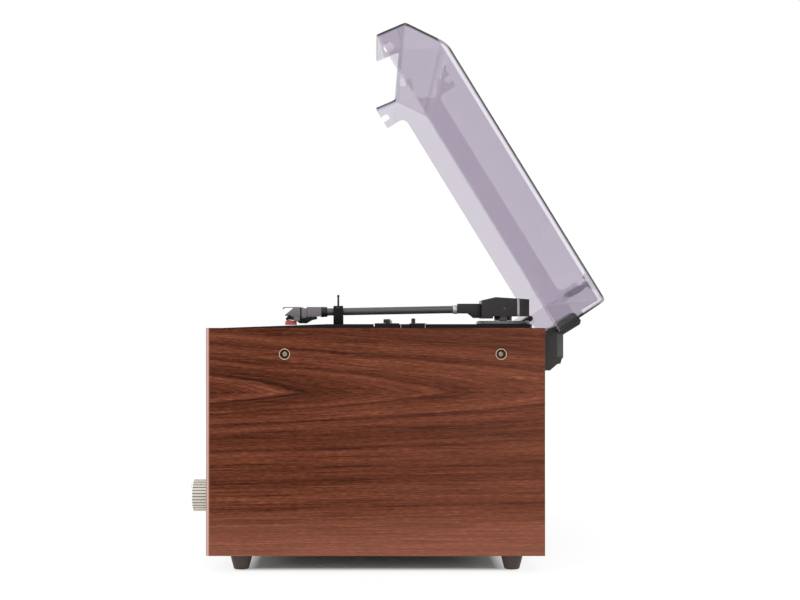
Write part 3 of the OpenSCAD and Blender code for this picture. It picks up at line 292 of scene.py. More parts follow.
def dress(finish, *nodes):
    """Gives plain nodes a better finish"""
    for name in nodes:
        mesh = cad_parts[name].data
        mesh.materials.clear()
        mesh.materials.append(finish)


# Finishes
class Flow:
    """A socket of a finish; sums written on it add Math nodes"""

    def __init__(self, finish, socket):
        self.finish, self.socket = finish, socket

    def math(self, operation, *terms):
        """A Math node over sockets and numbers"""
        return self.finish.node("Math", {"operation": operation}, dict(enumerate(terms)))

    def __pow__(self, other):
        return self.math("POWER", self, other)

    def __abs__(self):
        return self.math("ABSOLUTE", self)

    def above(self, limit):
        return self.math("GREATER_THAN", self, limit)

    def below(self, limit):
        return self.math("LESS_THAN", self, limit)

    def larger(self, other):
        return self.math("MAXIMUM", self, other)

    def sine(self):
        return self.math("SINE", self)

    def ramp(self, *stops):
        """Follows (place, value) stops, or (place, colour) stops for a colour"""
        colours = [(p, c if isinstance(c, tuple) else (c, c, c, 1)) for p, c in stops]
        return self.finish.node("ValToRGB", {"stops": colours}, {"Fac": self})


# Each sign works with a number on either side
for sign, operation in (("add", "ADD"), ("sub", "SUBTRACT"), ("mul", "MULTIPLY"), ("truediv", "DIVIDE")):
    setattr(Flow, f"__{sign}__", lambda one, two, how=operation: one.math(how, one, two))
    setattr(Flow, f"__r{sign}__", lambda two, one, how=operation: two.math(how, one, two))


class Finish:
    """One procedural material"""

    def __init__(self, name):
        self.material = bpy.data.materials.new(name)
        self.material.use_nodes = True
        self.tree = self.material.node_tree
        self.tree.nodes.clear()
        self.here = self.node("TexCoord", output="Object")
        self.x, self.y, self.z = (self.node("SeparateXYZ", None, {0: self.here}, n) for n in "XYZ")

    def node(self, kind, settings=None, sockets=None, output=0):
        """Adds a node of a type, with its settings first and then its sockets' values or links"""
        new = self.tree.nodes.new("ShaderNode" + kind)
        for key, value in (settings or {}).items():
            if key == "stops":
                steps = new.color_ramp.elements
                while len(steps) < len(value):
                    steps.new(0.5)
                for step, (place, colour) in zip(steps, value):
                    step.position, step.color = place, colour
            else:
                setattr(new, key, value)
        for key, value in (sockets or {}).items():
            if isinstance(value, Flow):
                self.tree.links.new(value.socket, new.inputs[key])
            else:
                new.inputs[key].default_value = value
        return Flow(self, new.outputs[output])

    def scaled(self, x, y, z):
        """The place on the object, stretched along each axis"""
        return self.node("VectorMath", {"operation": "MULTIPLY"}, {0: self.here, 1: (x, y, z)})

    def noise(self, scale, detail=3.0, rough=0.5, at=None):
        """Soft noise from 0 to 1 over the object, or over a stretched place"""
        return self.node("TexNoise", None, {
            "Vector": at or self.here, "Scale": scale, "Detail": detail, "Roughness": rough})

    def blend(self, share, first, second):
        """Mixes two colours"""
        return self.node("Mix", {"data_type": "RGBA"}, {0: share, 6: first, 7: second}, 2)

    def bump(self, height, strength, depth):
        """Fine relief of a depth in metres"""
        return self.node("Bump", None, {"Height": height, "Strength": strength, "Distance": depth})

    def done(self, filling=None, **sockets):
        """Ends the tree in the surface shader, its sockets named with _ for spaces"""
        surface = self.node("BsdfPrincipled", None, {
            key.replace("_", " "): value for key, value in sockets.items()})
        end = self.tree.nodes.new("ShaderNodeOutputMaterial")
        self.tree.links.new(surface.socket, end.inputs["Surface"])
        if filling:
            self.tree.links.new(self.node(filling[0], None, filling[1]).socket, end.inputs["Volume"])
        return self.material


# Growth rings of the veneer: how dark each is, by its distance from the heart in steps
RINGS = (
    (0, 0.4), (5, 0.6), (6.8, 0.66), (8, 0.25), (9.8, 0.08), (10.5, 0.95), (11.3, 0.66), (12, 0.85),
    (13, 0.42), (15.5, 0.2), (16.1, 0.8), (17, 0.42), (18.6, 0.12), (20.9, 0.16), (21.6, 0.9),
    (22.6, 0.34), (24, 0.18), (26, 0.56), (29, 0.66), (32.8, 0.3), (33.7, 0.72), (34.8, 0.2),
    (38.5, 0.26), (42, 0.52), (45, 0.32), (48, 0.66), (50, 0.3), (54, 0.16), (58.4, 0.28),
    (59.3, 0.66), (60.6, 0.22), (80, 0.3))


def walnut_veneer():
    """Red-brown veneer: flames pointing back, fine streaks, a painted highlight along the front edge, and
    painted light towards the bottom and back
    """
    wood = Finish("walnut_veneer")
    heart = spot(0, -5.7, 186.6)
    along, off = (wood.y - heart.y) * 1000, (wood.z - heart.z) * 1000
    upper, away = off.above(0), abs(off)
    flames = along + away * (6.67591 - upper * 3.69744) + away * away * (0.186 - upper * 0.066)
    steps = flames.larger(0.0) ** 0.5
    wander = wood.noise(1, 3, 0.55, wood.scaled(3, 5, 26)) - 0.5
    waver = wood.noise(1, 3, 0.6, wood.scaled(3, 24, 130)) - 0.5
    steps = steps + wander * 1.5 + waver * 0.7
    last = RINGS[-1][0]
    rings = (steps / last).ramp(*((place / last, dark) for place, dark in RINGS))
    bands_at = wood.node("CombineXYZ", None, {0: steps * 0.6, 1: wood.y * 3, 2: wood.x * 5})
    bands = wood.noise(1, 3, 0.6, bands_at)
    streaks_at = wood.node("CombineXYZ", None, {0: steps * 3.2, 1: wood.y * 10, 2: wood.x * 5})
    streaks = wood.noise(1, 3, 0.65, streaks_at)
    pores = wood.noise(1, 3, 0.65, wood.scaled(700, 120, 800))
    lines = wood.noise(1, 2, 0.5, wood.scaled(300, 11, 400)).ramp((0.55, 0.0), (0.63, 1.0))
    low = 1 - (wood.z * 1000 - 18) / 50  # 1 at the lower edge
    # Painted light, here and in the blend below: the grain is lightened and the colour paled towards the
    # lower edge
    dark = (rings * 0.5 + (bands - 0.5) * 0.64 + (streaks - 0.5) * 1.2 + (pores - 0.5) * 1.04
            + lines * 0.18 + 0.36) - low.ramp((0.0, 0.0), (0.5, 0.09), (1.0, 0.15))
    colour = dark.ramp(
        (0.0, tone(152, 93, 72)), (0.2, tone(124, 69, 49)), (0.42, tone(104, 53, 34)),
        (0.6, tone(88, 43, 24)), (0.8, tone(71, 31, 15)), (1.0, tone(47, 19, 8)))
    colour = wood.blend(low.ramp((0.0, 0.0), (0.5, 0.17), (1.0, 0.29)), colour, tone(172, 112, 92))
    # Painted light: the colour is lighter towards the back of the panel
    back = (wood.y - FRONT_EDGE * MM) * 1000
    colour = wood.blend((back / BODY_DEPTH).ramp((0.3, 0.0), (1.0, 0.10)), colour, tone(170, 110, 92))
    # Painted highlight on the rounded front edge: a pale strip, with a painted dark line at the very edge
    for edge, share, painted_light in ((4.2, 0.45, tone(150, 100, 84)), (3.1, 0.9, tone(204, 170, 162)),
                              (1.2, 0.55, tone(104, 84, 78))):
        colour = wood.blend(back.below(edge) * share, colour, painted_light)
    return wood.done(
        Base_Color=colour, Roughness=pores * 0.12 + 0.45, Specular_IOR_Level=0.08,
        Normal=wood.bump(pores, 0.12, 0.0002))


def plain_board(name, light, dark, grain=60):
    """Fibreboard or hardboard with pressed fibres"""
    board = Finish(name)
    fibres = board.noise(900, 4, 0.7)
    clouds = board.noise(grain, 3)
    return board.done(
        Base_Color=board.blend(fibres * 0.6 + clouds * 0.4, dark, light), Roughness=0.75,
        Normal=board.bump(fibres, 0.3, 0.0002))


def moulded(name, colour, rough=0.42, grain=0.18, scale=2600, shine=0.25, **more):
    """Injection-moulded plastic with a fine grain, a little duller where it is handled"""
    skin = Finish(name)
    pits = skin.noise(scale, 2, 0.6)
    clouds = skin.noise(34, 3)
    lighter = tuple(min(1, c * 1.25 + 0.002) for c in colour[:3]) + (1,)
    return skin.done(
        Base_Color=skin.blend(clouds * 0.7, colour, lighter), Roughness=clouds * 0.14 + (rough - 0.07),
        Specular_IOR_Level=shine, Normal=skin.bump(pits, grain, 0.0001), **more)


def black_deck():
    """Black moulding, polished where the strip beside the arm slopes down to the front"""
    deck = Finish("black_deck")
    pits = deck.noise(2400, 2, 0.6)
    clouds = deck.noise(34, 3)
    x, y = deck.x * 1000, (deck.y - FRONT_EDGE * MM) * 1000
    slope = y.below(112) * x.above(140)
    black = deck.blend(clouds * 0.7, tone(17, 14, 15), tone(22, 19, 20))
    # Painted highlights: two thin pale lines across the deck beside the arm
    highlight_lines = (abs(y - 201.5).below(0.4) + abs(y - 227).below(0.4)) * x.above(170)
    return deck.done(
        Base_Color=deck.blend(highlight_lines, black, tone(176, 172, 168)),
        Roughness=clouds * 0.1 + 0.4 - slope * 0.34, Specular_IOR_Level=0.2,
        Normal=deck.bump(pits * (1 - slope), 0.22, 0.0001))


def turned_metal(name, colour, rough=0.3, centre=(0, 0, 0), lines=9000):
    """Metal with fine turning rings about an upright axis"""
    metal = Finish(name)
    place = spot(*centre)
    x, y = metal.x - place.x, metal.y - place.y
    rings = ((x * x + y * y) ** 0.5 * lines).sine()
    wear = metal.noise(80, 3)
    return metal.done(
        Base_Color=metal.blend(wear * 0.5, colour, tuple(c * 0.8 for c in colour[:3]) + (1,)),
        Metallic=1.0, Roughness=wear * 0.15 + (rough - 0.07), Normal=metal.bump(rings, 0.08, 0.00005))


def brushed_metal(name, colour, rough=0.32, along=(1, 40, 40), metallic=1.0):
    """Metal with fine lines along one axis"""
    metal = Finish(name)
    lines = metal.noise(70, 3, 0.6, metal.scaled(*along))
    darker = tuple(c * 0.75 for c in colour[:3]) + (1,)
    return metal.done(
        Base_Color=metal.blend(lines, darker, colour), Metallic=metallic,
        Roughness=lines * 0.2 + (rough - 0.1), Normal=metal.bump(lines, 0.06, 0.0001))


def smoked_acrylic():
    """Clear cover whose lilac smoke deepens with the way through it, with painted highlights glowing along
    its edges
    """
    cover = Finish("smoked_acrylic")
    scuffs = cover.noise(240, 4, 0.6)
    up, back = math.cos(LID_OPEN), math.sin(LID_OPEN)  # turn the open cover's places to closed
    pivot = spot(0, *HINGE)
    y, z = cover.y - pivot.y, cover.z - pivot.z
    below_top = LID_TOP - HINGE[1] - (z * up + y * back) * 1000
    before_back = (y * up - z * back) * -1000
    outside = (cover.x * 1000).above(LID_W - 1)
    # Painted highlights, glowing as emission: light lines inside the outline at the top, lower rim, back,
    # and the front's slope and wall
    edge = below_top.above(1.6) * below_top.below(6.4) * outside
    rim = below_top.above(56.2) * below_top.below(57.9) * outside
    rear = before_back.above(0.6) * before_back.below(4.4) * below_top.below(27) * outside
    behind, under = HINGE[0] - LID_NOSE[0] - before_back, below_top - (LID_TOP - LID_NOSE[1])
    slope = behind * 0.5355 + under * 0.8445
    wall = behind * 0.9894 + under * 0.1457
    slope = slope.above(1.7) * slope.below(3.2) * under.below(0)
    wall = wall.above(1.7) * wall.below(3.0) * under.above(0)
    front = (slope + wall) * outside
    glow = (edge + rim * 0.22 + front * 0.45).larger(rear)
    return cover.done(
        filling=("VolumeAbsorption", {"Color": (0.40, 0.3, 0.48, 1), "Density": 240.0}),
        Base_Color=(0.97, 0.965, 0.97, 1), Roughness=scuffs.ramp((0.5, 0.0), (0.8, 0.02)),
        Transmission_Weight=1.0, IOR=1.49,
        Emission_Color=cover.blend(glow, (0, 0, 0, 1), (0.93, 0.92, 0.95, 1)), Emission_Strength=0.34)


def cloth(name, light, dark):
    """Loudspeaker cloth: warp and weft threads over and under each other"""
    weave = Finish(name)
    threads = (weave.x * 3000).sine() * (weave.z * 3000).sine()
    slubs = weave.noise(1, 3, 0.6, weave.scaled(60, 1, 700))
    slubs = slubs + weave.noise(1, 3, 0.6, weave.scaled(700, 1, 60))
    share = threads * 0.35 + slubs * 0.5
    return weave.done(
        Base_Color=weave.blend(share, dark, light), Roughness=0.9,
        Normal=weave.bump(threads, 0.6, 0.0003), Sheen_Weight=0.3)


def dial_card():
    """Cream dial card, warmer towards its ends as if lit from the middle"""
    card = Finish("dial_card")
    away = abs(card.x) * 14
    fibre = card.noise(700, 3)
    glow = card.blend(away.ramp((0.0, 0.0), (1.0, 0.8)), tone(247, 232, 190), tone(214, 180, 118))
    return card.done(
        Base_Color=card.blend(fibre * 0.15, glow, tone(190, 160, 110)), Roughness=0.6,
        Normal=card.bump(fibre, 0.05, 0.0001))


def ribbed_mat():
    """Record mat with fine concentric ridges"""
    mat = Finish("mat_rubber")
    place = spot(*PLATTER)
    a, b = mat.x - place.x, mat.y - place.y
    ridges = (((a * a + b * b) ** 0.5) * 3400).sine()
    dust = mat.noise(500, 3, 0.6)
    return mat.done(
        Base_Color=mat.blend(dust * 0.5, tone(24, 24, 25), tone(44, 43, 43)), Roughness=0.7,
        Normal=mat.bump(ridges, 0.5, 0.0004))


def circuit_board():
    """Green lacquer with copper paths"""
    board = Finish("circuit_board")
    cells = board.node("TexVoronoi", {"distance": "MANHATTAN", "feature": "DISTANCE_TO_EDGE"},
                       {"Vector": board.here, "Scale": 90.0}, "Distance")
    return board.done(
        Base_Color=board.blend(cells.ramp((0.03, 1.0), (0.05, 0.0)), tone(22, 74, 44), tone(96, 122, 52)),
        Roughness=0.35)


# Cabinet
WALNUT = walnut_veneer()
RAW_BOARD = plain_board("raw_board", tone(186, 154, 112), tone(150, 118, 80))
BACK_BOARD = plain_board("back_board", tone(120, 82, 56), tone(92, 60, 40), 90)
BLACK_BOARD = plain_board("black_board", tone(52, 46, 42), tone(30, 26, 24))
FOOT_RUBBER = moulded("foot_rubber", tone(66, 58, 52), 0.5, 0.3, 1800)
BLACK_DECK = black_deck()
BLACK_PLASTIC = moulded("black_plastic", tone(22, 20, 20), 0.38, 0.15)
PLATED = brushed_metal("plated_steel", tone(176, 176, 174), 0.4)
SCREW_STEEL = turned_metal("plated_screw", tone(200, 199, 194), 0.3)
DARK_SCREW = brushed_metal("dark_screw", tone(160, 150, 132), 0.34)
BRIGHT_RING = brushed_metal("bright_ring", tone(238, 220, 190), 0.3)


def dress_cabinet():
    """Wood, boards and screws of the case"""
    dress(WALNUT, "side_panel_right", "side_panel_left")
    dress(plain_board("under_board", tone(92, 90, 86), tone(66, 64, 61)), "bottom_board")
    dress(RAW_BOARD, "side_rails")
    dress(BLACK_BOARD, "front_board")
    dress(BACK_BOARD, "back_panel")
    dress(BLACK_DECK, "deck_plate")
    dress(SCREW_STEEL, "small_screws")


def make_feet():
    """Tapered feet with a soft lower rim and a hole for the screw"""
    y0, y1 = FOOT_YS
    first = lathe("foot_right_front", [
        (4.2, 12.0), (4.2, 0.4), (4.5, 0.05), (7.2, 0.0), (7.75, 0.12), (8.05, 0.6), (10.3, 9.0),
        (12.3, 17.3), (12.25, 17.75), (11.9, 17.98), (2.0, 17.98), (2.0, 12.0), (4.2, 12.0)],
        (FOOT_X, y0, 0), "z", 72)
    smooth(first, 50)
    others = [copy_of(first, "foot_" + name, dx, dy) for name, dx, dy in (
        ("left_front", -2 * FOOT_X, 0), ("left_back", -2 * FOOT_X, y1 - y0), ("right_back", 0, y1 - y0))]
    for foot in (first, *others):
        fit(foot, "cabinet", FOOT_RUBBER, "foot_rubber", "feet")


def make_side_screws():
    """Thin bright rings round brown cups darkened as painted shade in their recess, each with a cross-head
    screw at its bottom
    """
    # Painted shade: the cup's brown is darkened to stand for the shade inside the recess
    cup_brown = moulded("cup_brown", tone(92, 52, 38), 0.5)
    x0, y0, z0 = place = (PANEL_X, SIDE_SCREW_YS[0], SIDE_SCREW_Z)
    ring = lathe("side_ring", [
        (4.9, 0.0), (4.95, 0.5), (5.1, 0.85), (5.4, 1.0), (5.7, 0.8), (5.87, 0.35), (5.9, 0.0),
        (4.9, 0.0)], place, "x", 64)
    smooth(ring, 60)
    cup = lathe("side_cup", [
        (4.9, 0.3), (4.6, -0.2), (4.0, -2.2), (3.6, -3.6), (1.9, -3.9), (1.9, -5.0), (4.3, -5.0),
        (4.4, -0.5), (4.9, 0.3)], place, "x", 64)
    smooth(cup, 50)
    head = lathe("side_screw", [
        (0.9, -12.0), (1.75, -9.0), (1.8, -3.9), (3.1, -3.6), (3.3, -2.9), (3.1, -2.2), (2.3, -1.7),
        (1.0, -1.35), (0.4, -1.3)], place, "x", 48)
    for y, z in ((1.9, 0.45), (0.45, 1.9)):
        carve(head, block("cross", (x0 - 2.9, y0 - y, z0 - z), (x0, y0 + y, z0 + z)))
    smooth(head, 40)
    for piece, finish, slot, node in ((ring, BRIGHT_RING, "bright_ring", "cup_washers"),
                                      (cup, cup_brown, "walnut_veneer", "cup_washers"),
                                      (head, DARK_SCREW, "dark_screw", "side_screws")):
        front, back = piece.name + "_right_front", piece.name + "_right_back"
        copies = [copy_of(piece, front), copy_of(piece, back, 0, SIDE_SCREW_YS[1] - y0)]
        copies += [mirrored(other, other.name.replace("right", "left")) for other in copies]
        for other in copies:
            fit(other, "cabinet", finish, slot, node)
        drop(piece)


# Record deck
def make_deck():
    """Platter, mat, spindle and the drive below them"""
    dress(turned_metal("cast_aluminium", tone(196, 197, 199), 0.32, PLATTER, 5200), "platter")
    dress(ribbed_mat(), "platter_mat")
    dress(turned_metal("polished_steel", tone(214, 212, 208), 0.12, PLATTER), "spindle")
    dress(moulded("hinge_pin_black", tone(40, 40, 40), 0.4), "hinge_pins")
    dress(brushed_metal("brass_bush", tone(214, 178, 104), 0.34), "spindle_bearing", "motor_pulley")
    dress(moulded("belt_rubber", tone(36, 35, 35), 0.7, 0.3), "drive_belt")
    dress(PLATED, "motor", "tuning_gang", "volume_control", "disc_mechanism")


def make_switches():
    """The wide speed slider and the narrow stop lever, each on its stem in a slot"""
    switch = moulded("switch_grey", tone(42, 44, 39), 0.4)
    for name, y, half, top, radius, node in (("speed_slider", 187, 3.5, 262.4, 1.3, "speed_switch"),
                                             ("stop_lever", 215.1, 2, 263.1, 1.2, "auto_stop_switch")):
        cap = block(name + "_cap", (181, y - half, 258.1), (189, y + half, top))
        round_edges(cap, lambda a, b: min(a.z, b.z) > top - 0.2, radius, 5)
        if name == "speed_slider":
            for groove in (y - 1.6, y, y + 1.6):
                carve(cap, block("grip", (180, groove - 0.25, 262.1), (190, groove + 0.25, 263)))
        stem = block("stem", (183.7, y - 1, 245.5), (186.3, y + 1, 258.3))
        smooth(join(name + "_cap", cap, stem))
        fit(cap, name, switch, "black_plastic", node)


# Tonearm
def about(centre, *places):
    """Places in the side view, each so far back and up from a centre"""
    return [(centre[0] + back, centre[1] + up) for back, up in places]


def make_arm_base():
    """Glossy base disc with a soft rim and a sleeve through the deck"""
    base = lathe("arm_base_disc", [
        (4.1, 243.0), (8.0, 243.0), (8.0, 256.9), (28.4, 257.02), (28.9, 257.4), (28.9, 259.1),
        (28.6, 259.8), (27.8, 260.3), (26.8, 260.5), (12.0, 260.5), (11.4, 260.2), (4.1, 260.2),
        (4.1, 243.0)], (*ARM[:2], 0), "z", 128)
    smooth(base, 40)
    gloss = moulded("base_gloss", tone(96, 96, 100), 0.2, 0.03, 2600, 0.6, Metallic=0.45)
    fit(base, "cabinet", gloss, "black_plastic", "tonearm_base")
    dress(turned_metal("arm_metal", tone(90, 88, 88), 0.3, (*ARM[:2], 0)), "arm_pivot")


def make_arm_housing():
    """Black pivot housing with a raised top, a bright band and its bearing screws"""
    ax, ay, az = ARM
    housing = slab("arm_housing_shell", about(
        PIVOT, (-24.4, -10.8), (-12.2, -10.8), (-12.2, -8.4), (26.2, -8.4), (26.2, 9.7), (-9.7, 12),
        (-24.4, 8.6)), ax - 17, ax + 17)
    carve(housing, block("hollow", (ax - 14.5, ay - 13.9, az - 20), (ax + 14.5, ay + 23.7, az + 7)))
    carve(housing, lathe("bore", [(2.12, -20), (2.12, 20)], ARM, "x", 32))
    soften(housing, 1.1, 4)
    matt = moulded("housing_black", tone(47, 44, 45), 0.3, 0.12)
    fit(housing, "arm", matt, "black_plastic", "arm_housing")
    bright = brushed_metal("housing_band_metal", tone(178, 176, 174), 0.3)
    y0, y1 = ay + 13.4, ay + 16.0
    band = block("arm_housing_band", (ax - 17.1, y0, az - 8.5), (ax + 17.1, y1, az + 11.1))
    carve(band, block("inside", (ax - 16.2, y0 - 2, az - 9.5), (ax + 16.2, y1 + 2, az + 9.9)))
    soften(band, 0.3, 2)
    fit(band, "arm", bright, "arm_metal", "arm_housing")
    for side, name in ((-1, "left"), (1, "right")):
        cap = lathe("bearing_screw_" + name, [
            (1.2, 0.0), (1.2, 0.5), (2.6, 0.5), (3.0, 0.1), (3.0, -0.4), (2.1, -0.4), (2.1, -0.9),
            (1.2, 0.0)], (ax + side * 16.2, ay, az), "x", 40)
        smooth(cap, 50)
        fit(cap, "arm", matt, "arm_metal", "arm_housing")


def make_arm_neck():
    """Neck that carries the tube, stepped down under the housing"""
    neck = slab("arm_neck_block", about(
        PIVOT, (-49.4, -5.3), (-38, -5.3), (-31.9, -10.2), (-24.4, -10.2), (-24.4, 5.2), (-49.4, 5.2)),
        ARM[0] - 6.5, ARM[0] + 6.5)
    bore = lathe("bore", [(4.12, 35.4), (4.12, 60)], ARM, "y", 48)
    carve(neck, turn_about_x(bore, -ARM_SLOPE, *PIVOT))
    soften(neck, 0.8, 3)
    fit(neck, "arm", moulded("neck_black", tone(44, 42, 43), 0.32, 0.1), "black_plastic", "arm_neck")


def make_arm_tube():
    """Satin tube and the bright ring at its back end"""
    satin = moulded("satin_tube", tone(74, 72, 71), 0.26, 0.04, 1200, 0.6)
    tube = lathe("arm_tube_satin", [
        (4.0, 35.5), (4.0, 193.0), (3.2, 193.0), (3.2, 35.5), (4.0, 35.5)], ARM, "y", 64)
    ring = lathe("arm_tube_ring", [
        (4.0, 49.8), (4.6, 49.8), (4.75, 50.1), (4.75, 53.8), (4.55, 54.2), (4.0, 54.25), (4.0, 49.8)],
        ARM, "y", 64)
    bright = moulded("tube_ring_silver", tone(196, 194, 192), 0.3, 0.03, Metallic=0.3)
    for piece, finish, slot in ((tube, satin, "satin_tube"), (ring, bright, "arm_metal")):
        smooth(piece, 40)
        turn_about_x(piece, -ARM_SLOPE, *PIVOT)
        fit(piece, "arm", finish, slot, "arm_tube")


def make_headshell():
    """Grey headshell: collar, body with a groove filled dark as painted shade, sloping nose and a finger
    lift
    """
    ax, (y, z) = ARM[0], STYLUS
    grey = moulded("grey_shell", tone(118, 113, 118), 0.36, 0.1)
    body = slab("headshell_body", about(
        STYLUS, (34.3, 9.4), (34.3, 19.5), (18.8, 19.5), (18.6, 18.2), (15.2, 18.2), (13.4, 19.5),
        (5.5, 19.5), (-4.6, 11.1), (-4.6, 10.0), (1.7, 9.4)), ax - 7.8, ax + 7.8)
    for front, back in ((11.5, 13.1), (18.9, 19.4)):
        ring = block("groove", (ax - 9, y + front, z + 5), (ax + 9, y + back, z + 25))
        carve(ring, block("core", (ax - 7, y + front - 2, z + 4), (ax + 7, y + back + 2, z + 18.7)))
        carve(body, ring)
    soften(body, 0.45, 3)
    fit(body, "arm", grey, "grey_shell", "headshell")
    for name, back, front, low, high in (
            ("cartridge_cheek", 11.3, 4.7, 3.9, 9.5), ("cartridge_step", 18.6, 13.2, 7.4, 9.5)):
        cheek = slab(name, about(
            STYLUS, (back, low + 0.6), (back, high), (front, high), (front, low)), ax - 7.6, ax + 7.6)
        soften(cheek, 0.35, 3)
        fit(cheek, "arm", grey, "grey_shell", "cartridge")
    # Painted shade: dark blocks set into the groove and at a thin slot line, standing for the shade in them
    dark = moulded("shell_gap", tone(16, 14, 15), 0.5)
    for name, back, front, low, high in (
            ("shell_seam", 13.0, 11.6, 3.4, 18.9), ("shell_slot", 1.8, -2.0, 8.7, 10.9)):
        seam = block(name, (ax - 7.88, y + front, z + low), (ax + 7.88, y + back, z + high))
        soften(seam, 0.2, 2)
        fit(seam, "arm", dark, "grey_shell", "headshell")
    collar = lathe("headshell_collar", [
        (4.15, 189.6), (5.1, 189.6), (5.3, 190.0), (5.6, 195.8), (5.4, 196.4), (4.15, 196.4),
        (4.15, 189.6)], ARM, "y", 64)
    smooth(collar, 40)
    turn_about_x(collar, -ARM_SLOPE, *PIVOT)
    fit(collar, "arm", moulded("collar_black", tone(38, 34, 34), 0.4), "grey_shell", "headshell")
    lift = slab("finger_lift", about(
        STYLUS, (8.5, 19.55), (-5.6, 19.55), (-6.9, 18.6), (-7.5, 17.3), (-6.8, 17.1), (-6.2, 18.0),
        (-5.0, 18.7), (8.5, 18.7)), ax + 1, ax + 7)
    soften(lift, 0.25, 3)
    fit(lift, "arm", brushed_metal("lift_metal", tone(128, 124, 126), 0.34), "grey_shell", "headshell")


def make_cartridge():
    """Black cartridge with its red stylus wedge and the needle"""
    ax = ARM[0]
    body = slab("cartridge_body", about(
        STYLUS, (29.3, 9.25), (29.3, 6.5), (24, 5.4), (18, 1.9), (11, 1.9), (7, 5.2), (-1.5, 6),
        (-3.6, 5.4), (-4.2, 7), (-2.4, 9.25)), ax - 6.4, ax + 6.4)
    soften(body, 0.5, 3)
    fit(body, "arm", BLACK_PLASTIC, "black_plastic", "cartridge")
    red = Finish("red_stylus")
    glow = red.noise(120, 3)
    red = red.done(Base_Color=red.blend(glow, tone(206, 58, 50), tone(232, 96, 84)),
                   Roughness=glow * 0.1 + 0.28, Coat_Weight=0.4)
    wedge = slab("stylus_wedge", about(
        STYLUS, (7.4, 0.3), (7.4, 4.4), (-2, 5.7), (-4.4, 4.6), (-4.95, 0.3)), ax - 3.9, ax + 3.9)
    soften(wedge, 0.4, 3)
    fit(wedge, "arm", red, "red_stylus", "stylus")
    point = lathe("stylus_point", [(0.12, 0.0), (0.45, 0.7), (0.8, 1.5)], (ax, *STYLUS), "z", 16)
    smooth(point, 40)
    fit(point, "arm", PLATED, "red_stylus", "stylus")


def make_arm_rest():
    """Post under the tube, with an outer wall slotted for the clip"""
    ax = ARM[0]
    outline = [(ax - 8, 257.0), (ax + 10, 257.0), (ax + 10, 276.6), (ax + 4.4, 276.6), (ax + 4.4, 266.1),
               (ax - 8, 266.1)]
    rest = slab("arm_rest_post", outline, REST_Y - 5.2, REST_Y + 5.2, "y")
    soften(rest, 0.6, 3)
    carve(rest, block("slot", (CLIP_X - 4.2, REST_Y - 1.2, 274.4), (CLIP_X + 3.8, REST_Y + 1.2, 280)))
    carve(rest, lathe("pin_hole", [(0.95, -3.5), (0.95, 3.5)], (CLIP_X, REST_Y, 275.6), "y", 24))
    smooth(rest)
    black = moulded("rest_black", tone(14, 12, 10), 0.42, 0.2, 2600, 0.15)
    fit(rest, "cabinet", black, "black_plastic", "arm_rest")


def make_arm_clip():
    """Thin upright clip on its pin, with a ball at its end"""
    x, z = CLIP_X, 275.7
    clip = block("arm_clip_bar", (x - 1, REST_Y - 1, z - 1.2), (x + 1, REST_Y + 1, z + 11.1))
    soften(clip, 0.2, 2)
    pin = lathe("pin", [(0.8, -3.2), (0.8, 3.2)], (x, REST_Y, z), "y", 24)
    ball = lathe("ball", [(0.3, -1.37), (0.8, -1.15), (1.2, -0.7), (1.4, 0.0), (1.2, 0.7), (0.8, 1.15),
                          (0.3, 1.37)], (x, REST_Y, z + 11.4), "z", 24)
    smooth(join("arm_clip_bar", clip, pin, ball), 50)
    fit(clip, "clip", BLACK_PLASTIC, "black_plastic", "arm_clip")


# Dust cover
def drawn_in(outline, depth, bottom):
    """The outline with all its sides moved in by a depth, but its bottom moved to a height"""
    lines = []
    for (ay, az), (by, bz) in zip(outline, outline[1:] + outline[:1]):
        along = Vector((by - ay, bz - az)).normalized()
        inward = Vector((-along.y, along.x))
        lines.append((Vector((ay, az)) + inward * depth, along))
    lines[0] = (Vector((0, bottom)), Vector((1, 0)))
    corners = []
    for (p, d), (q, e) in zip([lines[-1]] + lines[:-1], lines):
        cross = d.x * e.y - d.y * e.x
        t = ((q - p).x * e.y - (q - p).y * e.x) / cross
        corners.append(tuple(p + d * t))
    return corners


def cover_form(name, depth, bottom, r):
    """One smooth solid of the cover: side view, front view and top view cut with each other"""
    w = LID_W - depth
    outline = drawn_in(LID_OUTLINE, depth, bottom)
    form = slab(name, outline, -w, w)
    for (y, z), radius in zip(outline[2:], (4, 8, 2.6)):
        near = lambda p: abs(p.y - y) < 0.3 and abs(p.z - z) < 0.3
        round_edges(form, lambda a, b: near(a) and near(b), max(radius - depth, 0.6), 8)
    top = outline[2][1]
    y0, y1 = outline[0][0], outline[1][0]
    front_view = slab("front_view", [(-w, bottom), (w, bottom), (w, top), (-w, top)], -30, 400, "y")
    round_edges(front_view, lambda a, b: abs(a.z - top) < 0.1 and abs(b.z - top) < 0.1
                and abs(a.x - b.x) < 0.1, r, 10)
    carve(form, front_view, "INTERSECT")
    top_view = block("top_view", (-w, y0, bottom - 5), (w, y1, top + 5))
    round_edges(top_view, lambda a, b: abs(a.x - b.x) < 0.1 and abs(a.y - b.y) < 0.1, r, 10)
    carve(form, top_view, "INTERSECT")
    return form


def opened(piece):
    """A piece of the closed cover, turned with it about the hinges"""
    return turn_about_x(piece, LID_OPEN, *HINGE)


